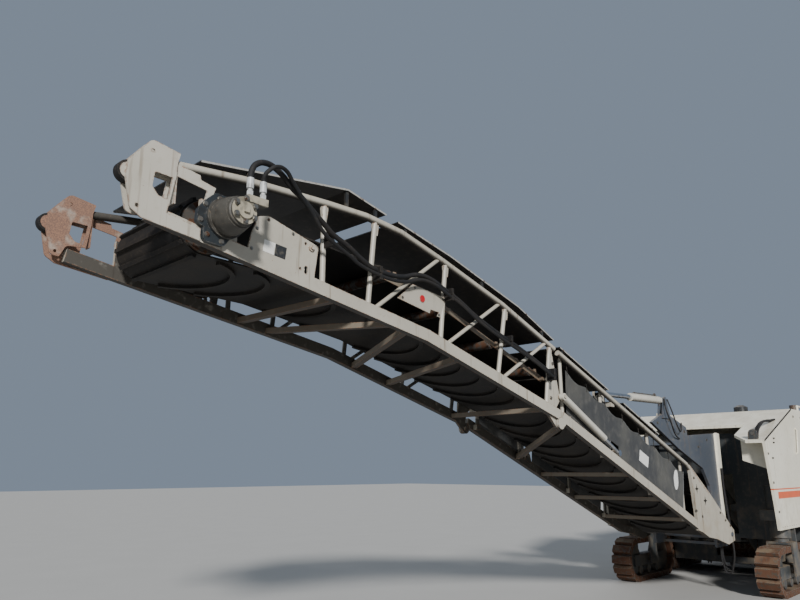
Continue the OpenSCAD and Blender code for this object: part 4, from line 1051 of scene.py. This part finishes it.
@dataclass
class ConveyorFittings:
    """What is bolted, stuck and clamped to the conveyor, and the hoses of its motor."""

    # Left faces of the gearbox, the motor, the fold plates and the covers
    gearbox_y: float = 0.6863
    motor_y: float = 0.9270
    fold_plate_y: float = 0.5965
    cover_y: float = 0.6402
    motor_centre: Pair = (6.900, 3.280)
    reflector_centre: Pair = (4.972, 3.111)
    stars: tuple[Pair, ...] = ((-0.526, 1.478), (-0.782, 1.317))
    # Each pair of clamps, by its x and the height of its upper hose's middle
    clamps: tuple[Pair, ...] = ((6.03, 3.385), (5.535, 3.232), (4.67, 3.222), (3.80, 2.930))
    # Where each bright edge runs: body and upper edge of the sheet, from front to rear
    ridges: tuple[tuple[str, str, tuple[Pair, ...]], ...] = (
        ("edge_front", "conveyor_front", ((5.250, 3.715), (4.580, 3.575), (3.530, 3.290), (2.900, 3.040))),
        ("edge_flap", "conveyor_front", ((7.070, 3.640), (5.810, 3.830), (5.390, 3.740))),
        ("edge_rear_1", "conveyor_rear", ((2.780, 2.979), (1.760, 2.612))),
        ("edge_rear_2", "conveyor_rear", ((1.410, 2.486), (0.500, 2.158))))

    def build(self, bench: Bench) -> None:
        """Builds all of it."""
        self.bolts(bench)
        self.films(bench)
        self.hoses(bench)
        disc = ring(self.reflector_centre, 0.030, range(0, 360, 15))
        Plates("reflector_disc", "conveyor_front", "red_film", 0.002, both=True).build(bench, (0.6535, disc))

    def bolts(self, bench: Bench) -> None:
        """Sets the bolts of the gearbox, the motor, the plates at the tip, the fold and the tail."""
        front = Fasteners("conveyor_front", Sort.BOLT)
        front.left(self.gearbox_y, (6.945, 3.405), (7.045, 3.345), (7.072, 3.235), (7.020, 3.150),
                   (6.915, 3.125), (6.845, 3.225), (6.822, 3.335), (6.868, 3.405))
        front.left(self.motor_y, *ring(self.motor_centre, 0.076, range(30, 390, 60)))
        front.both(self.fold_plate_y, (2.88, 2.80), (2.93, 2.62), (2.945, 2.44))
        front.build(bench)
        small = Fasteners("conveyor_front", Sort.SMALL_BOLT)
        small.both(FRAME_Y + OFF, (6.665, 3.150), (6.630, 3.300), (6.540, 3.385), (6.330, 3.335),
                   (5.060, 3.190), (4.700, 3.150), (4.760, 3.005), (5.210, 3.080))
        small.build(bench)
        rear = Fasteners("conveyor_rear", Sort.BOLT)
        rear.both(FRAME_Y + OFF, (-1.62, 0.95), (-1.45, 1.03), (-1.28, 1.14), (-0.45, 1.62), (-0.44, 1.20),
                  (-0.62, 1.12))
        rear.build(bench)

    def films(self, bench: Bench) -> None:
        """Makes the blank labels, the bright edges, the clamps and the stars of the tail plate."""
        labels = {"white": [(6.567, 3.238), (6.476, 3.229), (6.486, 3.143), (6.576, 3.153)],
                  "dark": [(6.472, 3.228), (6.379, 3.219), (6.390, 3.132), (6.482, 3.142)]}
        for tone, outline in labels.items():
            Plates(f"motor_plate_label_{tone}", "conveyor_front", f"{tone}_film").build(
                bench, (FRAME_Y + 0.0004, outline))
        for name, body, ridge in self.ridges:
            strip = [(x, z + 0.0085) for x, z in ridge] + [(x, z - 0.006) for x, z in reversed(ridge)]
            Plates(name, body, "trim", 0.002, both=True).build(bench, (self.cover_y, strip))
        # How far each clamp reaches below the upper hose's middle, and how tall it is
        clamps = [(0.6425, rect(x - 0.012, hose_z - drop, x + 0.012, hose_z - drop + tall))
                  for x, hose_z in self.clamps for drop, tall in ((0.030, 0.052), (0.082, 0.046))]
        Plates("hose_clamps", "conveyor_front", "rubber", 0.095).build(bench, *clamps)
        stars = [(FRAME_Y + THIN_OFF, [ring(centre, reach, (45 * k,))[0]
                                       for k, reach in enumerate((0.066, 0.022) * 4)])
                 for centre in self.stars]
        Plates("tail_plate_stars", "conveyor_rear", "rubber", 0.0008).build(bench, *stars)

    def hoses(self, bench: Bench) -> None:
        """Builds the motor's hoses on the route that the part's source gives them, and their bulkhead."""
        tubes = [Tubing(f"motor_hose_{name}", "conveyor_front", radius, "hose", 16).build(
            bench, [tuple(c / 1000 for c in place) for place in route])
            for name, radius, route in (("pressure", 0.020, HOSE_A), ("return", 0.014, HOSE_B))]
        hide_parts("hoses_front")
        block = bmesh.new()
        add_box(block, (3.035, 0.64235, 2.600), (3.075, 0.73485, 2.720))
        bench.solid("hose_bulkhead", block, "conveyor_front", "rubber", 0.004)


@dataclass
class MastFittings:
    """Hoses on the mast, the lift cylinders' own pipes and the mast's bolts."""

    cheek_y: float = 0.47
    # Eye of the lift barrel, how the barrel falls towards its rod, and its radius
    eye: Pair = (-0.15, 2.64)
    fall: float = 0.0222
    barrel_r: float = 0.045
    # Each pipe on a barrel: height over its axis, y, and its two ends along it
    pipes: tuple[tuple[float, float, float, float], ...] = (
        (0.062, 0.45, 0.22, 0.90), (0.075, 0.47, 0.24, 0.34))

    def build(self, bench: Bench) -> None:
        """Builds all of it."""
        hoses = []
        for k, (x, y) in enumerate(((-1.915, 0.500), (-1.942, 0.488), (-1.888, 0.506))):
            hoses.append([(x, 0.50 + 0.012 * k, 1.75), (x, y + 0.02, 1.45), (x - 0.01, y + 0.035, 1.10),
                          (x - 0.02, y + 0.05, 0.80), (x - 0.05, y + 0.03, 0.50 - 0.05 * k),
                          (x - 0.06, y - 0.06, 0.36 - 0.05 * k), (x - 0.03, 0.395, 0.46 - 0.04 * k),
                          (x + 0.01, 0.395, 0.66)])
        Tubing("mast_hoses", "mast", 0.013).build(bench, *hoses)
        loops = [[(-0.20, 0.495, 2.66), (-0.24, 0.53, 2.50), (-0.36, 0.54, 2.30), (-0.50, 0.52, 2.24),
                  (-0.62, 0.49, 2.36)],
                 [(-0.10, 0.495, 2.66), (-0.05, 0.53, 2.52), (-0.14, 0.54, 2.36), (-0.30, 0.52, 2.20),
                  (-0.52, 0.485, 2.14)]]
        Tubing("mast_loops", "mast", 0.009, "rubber").build(bench, *loops)
        x, z = self.eye
        pipes = [[(x + t, side * y, z - self.fall * t + rise)
                  for t, rise in ((start, self.barrel_r), (start + 0.03, lift), (end - 0.03, lift),
                                  (end, self.barrel_r))]
                 for side in SIDES.values() for lift, y, start, end in self.pipes]
        Tubing("lift_pipes", "lift_barrels", 0.008, "zinc", 8, True).build(bench, *pipes)
        pins = Fasteners("mast", Sort.BOLT)
        pins.both(self.cheek_y + OFF, (-1.92, 2.18), (-1.55, 2.16), (-1.20, 2.05), (-1.90, 0.72),
                  (-1.62, 0.70), (-0.75, 2.25), (-0.25, 2.38), (0.12, 2.33))
        pins.build(bench)


@dataclass
class BodyFittings:
    """Handles, lifting ears, latches, roof hoses and bolts of the body."""

    # How far a handle is let into its panel and stands out of it, as y
    handle_y: Pair = (1.245, 1.270)
    # Eye of the lifting ear, and its radii outside and inside the bush
    ear: Pair = (1.087, 2.235)
    ear_r: Pair = (0.062, 0.026)
    ear_foot: float = 2.1545
    latches: tuple[Pair, ...] = ((-2.038, 2.174), (-2.012, 2.113), (-1.884, 1.892))
    latch_size: Pair = (0.05, 0.018)

    def build(self, bench: Bench) -> None:
        """Builds all of it."""
        self.handles(bench)
        self.front(bench)
        seam = [(-3.148, 2.675), (-1.618, 2.145), (-1.618, 2.120), (-3.148, 2.650)]
        Plates("roof_seam", "chassis", "rubber", 0.004, both=True).build(bench, (PANEL_Y + THIN_OFF, seam))
        hose = [(-1.70, 1.10, 2.165), (-1.74, 1.10, 2.25), (-1.90, 1.10, 2.36), (-2.15, 1.10, 2.43),
                (-2.45, 1.10, 2.455), (-2.62, 1.10, 2.475)]
        beside = [(x + 0.03, y + 0.045, z + 0.004) for x, y, z in hose]
        Tubing("roof_hoses", "chassis", 0.016).build(bench, hose, beside)
        w, h = (size / 2 for size in self.latch_size)
        Plates("latches", "chassis", "rubber", 0.012, both=True).build(
            bench, *[(PANEL_Y + OFF, rect(x - w, z - h, x + w, z + h)) for x, z in self.latches])
        bolts = Fasteners("chassis", Sort.BOLT)
        bolts.both(PANEL_Y + OFF, *[(x, z) for z in (1.05, 1.35, 1.62) for x in (-7.35, -5.04)])
        bolts.both(PANEL_Y + OFF, (-1.70, 1.95), (-1.78, 1.55), (-1.86, 1.15), (-3.62, 1.0), (-3.62, 2.55),
                   (-3.20, 2.55))
        bolts.build(bench)

    def handles(self, bench: Bench) -> None:
        """Bends a sloping handle at the front and two upright ones beside the operators' place."""
        inner, outer = self.handle_y
        rails = [[(-3.25, side * inner, 2.37), (-3.24, side * outer, 2.34), (-3.13, side * outer, 1.99),
                  (-3.12, side * inner, 1.96)] for side in SIDES.values()]
        rails += [[(x, side * inner, 1.10), (x, side * outer, 1.13), (x, side * outer, 1.62),
                   (x, side * inner, 1.65)] for x in (-5.12, -3.78) for side in SIDES.values()]
        Tubing("grab_handles", "chassis", 0.012, "body", 10, True).build(bench, *rails)

    def front(self, bench: Bench) -> None:
        """Cuts the wall behind the roof's recess and the lifting ears, across the machine."""
        reach, bore = self.ear_r
        wall = [(0.850, 2.180), (1.2095, 2.180), (1.2095, 1.726), (0.850, 1.860)]
        ear = [(1.02, self.ear_foot), *ring(self.ear, reach, range(180, -1, -18)), (1.154, self.ear_foot)]
        bush = ring(self.ear, bore, range(0, 360, 18))
        # Name, finish, back, thickness and outline of each
        for name, finish, back, thick, outline in (("recess_wall", "body", -1.866, 0.012, wall),
                                                   ("lifting_ear", "chassis", -1.672, 0.020, ear),
                                                   ("lifting_ear_bush", "zinc", -1.6525, 0.006, bush)):
            Plates(name, "chassis", finish, thick, Axis.LENGTH, True).build(bench, (back, outline))


@dataclass
class Louvres:
    """A louvred vent on a side panel: tilted slats one above the other, set by Geometry Nodes."""

    name: str
    # Middle of the lowest slat, on the panel
    foot: Point
    length: float = 1.10
    count: int = 10
    pitch: float = 0.052
    depth: float = 0.020
    slat_thick: float = 0.0025
    tilt_deg: float = 38
    margin: float = 0.035
    bar: float = 0.016

    def tree(self) -> bpy.types.NodeTree:
        """Builds the node group, with its sizes as named inputs."""
        tree = start_group("louvres", {"Count": self.count, "Pitch": self.pitch, "Length": self.length,
                                       "Depth": self.depth, "Tilt": math.radians(self.tilt_deg)})
        given = add(tree, "NodeGroupInput").outputs
        step = add(tree, "ShaderNodeCombineXYZ", {"Z": given["Pitch"]}).outputs[0]
        line = add(tree, "GeometryNodeMeshLine", {"Count": given["Count"], "Offset": step}, mode="OFFSET")
        size = add(tree, "ShaderNodeCombineXYZ",
                   {"X": given["Length"], "Y": given["Depth"], "Z": self.slat_thick}).outputs[0]
        slat = add(tree, "GeometryNodeMeshCube", {"Size": size}).outputs["Mesh"]
        tilt = add(tree, "ShaderNodeCombineXYZ", {"X": given["Tilt"]}).outputs[0]
        placed = add(tree, "GeometryNodeInstanceOnPoints",
                     {"Points": line.outputs[0], "Instance": slat, "Rotation": tilt})
        end_group(tree, placed.outputs[0], given["Material"])
        return tree

    def build(self, bench: Bench) -> None:
        """Sets the slats, with a frame round them and a dark sheet behind as painted shade of the vent's
        opening.
        """
        x, y, z = self.foot
        side = math.copysign(1, y)
        bench.grow(self.name, bpy.data.meshes.new(self.name), self.tree(),
                   {"Material": bench.shop.material("chassis"), "Tilt": -side * math.radians(self.tilt_deg)},
                   "chassis", (x, y + side * self.depth * 0.40, z))
        a, b = x - self.length / 2, x + self.length / 2
        low, high = z - self.margin, z + self.pitch * (self.count - 1) + self.margin
        bars = (rect(a, low, b, low + self.bar), rect(a, high - self.bar, b, high),
                rect(a - self.bar, low, a, high), rect(b, low, b + self.bar, high))
        Plates(f"{self.name}_frame", "chassis", "body", 0.018).build(bench, *[(y, bar) for bar in bars])
        # Dark sheet behind the slats: painted shade of the vent's opening
        Plates(f"{self.name}_back", "chassis", "rubber", 0.001).build(bench, (y, rect(a, low, b, high)))


@dataclass
class RearFittings:
    """Doors, vents, lamps and steps of the body's rear part, alike on both sides."""

    # Each door's low x, high x, low z and high z
    doors: tuple[tuple[float, float, float, float], ...] = (
        (-7.36, -6.98, 1.02, 2.46), (-6.90, -5.50, 1.02, 1.74), (-5.42, -5.06, 1.82, 2.46),
        (-4.92, -4.32, 1.02, 1.70), (-4.26, -3.76, 1.02, 1.70))
    # Width of each door's seam, drawn black as a painted shadow line
    seam: float = 0.004
    hinge_y: float = 1.2590
    vent: Pair = (-6.20, 1.88)
    # The hanging steps: their two uprights, their y, and the heights of their rungs
    step_x: Pair = (-5.50, -5.15)
    step_y: float = 1.222
    rungs: Pair = (0.51, 0.73)
    # A tail lamp's rear face, middle and foot, then its depth, width and height
    lamp: Point = (-7.475, 1.04, 2.38)
    lamp_size: Point = (0.025, 0.13, 0.10)

    def build(self, bench: Bench) -> None:
        """Builds all of it."""
        for name, side in SIDES.items():
            Louvres(f"louvres_{name}", (self.vent[0], side * (PANEL_Y + OFF), self.vent[1])).build(bench)
        self.hang_doors(bench)
        self.steps(bench)
        self.lamps(bench)
        rear = Fasteners("chassis", Sort.RIVET, seed=5)
        for side in SIDES.values():
            # First x, last x, height and number of each row
            for start, end, z, count in ((-7.40, -5.05, 2.52, 24), (-7.40, -3.75, 0.94, 34),
                                         (-3.65, -1.95, 0.94, 16)):
                y = side * (PANEL_Y + OFF)
                rear.row((start, y, z), (end, y, z), count, (0, side, 0))
        rear.build(bench)

    def hang_doors(self, bench: Bench) -> None:
        """Draws each door's seam as a painted shadow line, and sets its catch and hinges."""
        w = self.seam
        seams, catches, hinges = [], [], []
        for a, b, low, high in self.doors:
            seams += [rect(a, low, b, low + w), rect(a, high - w, b, high),
                      rect(a, low + w, a + w, high - w), rect(b - w, low + w, b, high - w)]
            x, z = b - 0.06, (low + high) / 2
            catches.append(rect(x - 0.02, z - 0.045, x + 0.02, z + 0.045))
            hinges += [[(a - 0.012, side * self.hinge_y, z + end) for end in (-0.035, 0.035)]
                       for side in SIDES.values() for z in (low + 0.12, high - 0.12)]
        # The door seams are painted shadow lines; the catches are black rubber
        for name, off, thick, outlines in (("door_seam_shadows", THIN_OFF, 0.0008, seams),
                                           ("door_catches", OFF, 0.010, catches)):
            Plates(name, "chassis", "rubber", thick, both=True).build(
                bench, *[(PANEL_Y + off, outline) for outline in outlines])
        Tubing("door_hinges", "chassis", 0.008, "body", 10, True).build(bench, *hinges)

    def steps(self, bench: Bench) -> None:
        """Hangs a step below each side, and puts two treads on the panel over it."""
        a, b = self.step_x
        steps = []
        for y in (self.step_y, -self.step_y):
            steps += [[(x, y, 0.898), (x, y, 0.50)] for x in self.step_x]
            steps += [[(a, y, z), (b, y, z)] for z in self.rungs]
        Tubing("hanging_steps", "chassis", 0.013, "chassis", 12, True).build(bench, *steps)
        Plates("step_treads", "chassis", "chassis", 0.004, both=True).build(
            bench, *[(PANEL_Y + THIN_OFF, rect(a + 0.04, z, b - 0.04, z + 0.09)) for z in (1.86, 2.14)])

    def lamps(self, bench: Bench) -> None:
        """Builds the two tail lamps."""
        x, y, z = self.lamp
        deep, wide, tall = self.lamp_size
        for name, side in SIDES.items():
            shape = bmesh.new()
            add_box(shape, (x, side * y - wide / 2, z), (x + deep, side * y + wide / 2, z + tall))
            bench.solid(f"tail_lamp_{name}", shape, "chassis", "console", 0.006)
        face = rect(y - wide / 2 + 0.010, z + 0.010, y + wide / 2 - 0.010, z + tall - 0.010)
        Plates("tail_lamp_lens", "chassis", "red_lens", 0.003, Axis.LENGTH, True).build(
            bench, (x - 0.003, face))


@dataclass
class Studio:
    """Floor, sky, lamps and the camera, low in front of the machine."""

    stand: Point = (9.107, 4.347, 1.72)
    heading: Pair = (-0.7229, -0.6910)
    pitch_deg: float = 13.98
    lens_mm: float = 30.77
    floor_half: float = 60
    sky: str = "#b9cbe2"
    sky_strength: float = 0.42

    def build(self) -> None:
        """Builds all of it."""
        self.camera()
        self.floor()
        self.lights()

    def camera(self) -> None:
        """Places the camera."""
        data = bpy.data.cameras.new("camera")
        data.lens = self.lens_mm
        data.sensor_width = 36
        data.clip_end = 200
        camera = bpy.data.objects.new("camera", data)
        turn = math.atan2(self.heading[1], self.heading[0]) - math.pi / 2
        camera.location = self.stand
        camera.rotation_euler = (math.pi / 2 + math.radians(self.pitch_deg), 0, turn)
        bpy.context.scene.collection.objects.link(camera)
        bpy.context.scene.camera = camera

    def floor(self) -> None:
        """Lays the pale floor."""
        h = self.floor_half
        mesh = bpy.data.meshes.new("floor")
        mesh.from_pydata([(*corner, 0) for corner in rect(-h, -h, h, h)], [], [(0, 1, 2, 3)])
        floor = bpy.data.objects.new("floor", mesh)
        bpy.context.scene.collection.objects.link(floor)
        s = Surface("FloorPale", "#b5b2ac", 0.8)
        s.layer(s.fade(s.spots(900, 3), 0.3, 0.7, (0, 0.3)), "#adaaa4")
        mesh.materials.append(s.finish())

    def lights(self) -> None:
        """Sets a pale sky, a broad key from behind the camera and a soft fill from behind."""
        world = bpy.data.worlds.new("sky")
        world.use_nodes = True
        backdrop = world.node_tree.nodes["Background"].inputs
        backdrop["Color"].default_value = linear(self.sky)
        backdrop["Strength"].default_value = self.sky_strength
        bpy.context.scene.world = world
        # Power, width, bearing and height, the last three in degrees
        for name, power, width, bearing, height in (("key", 4.8, 6, 50, 24), ("fill", 0.4, 40, 215, 45)):
            data = bpy.data.lights.new(name, "SUN")
            data.energy = power
            data.angle = math.radians(width)
            lamp = bpy.data.objects.new(name, data)
            lamp.rotation_euler = (math.radians(90 - height), 0, math.radians(bearing + 90))
            bpy.context.scene.collection.objects.link(lamp)


def main() -> None:
    """Builds the studio and every sub-assembly in order."""
    logging.basicConfig(level=logging.INFO, format="%(message)s")
    Studio().build()
    shop = Paintshop()
    for name in sorted(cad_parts):
        shop.node(name)
    bench = Bench(shop)
    for assembly in (SideCanvas(), Seats(), ConveyorFittings(), MastFittings(), BodyFittings(),
                     RearFittings()):
        assembly.build(bench)
        LOG.info("built %s", type(assembly).__name__)


if __name__ == "__main__":
    main()
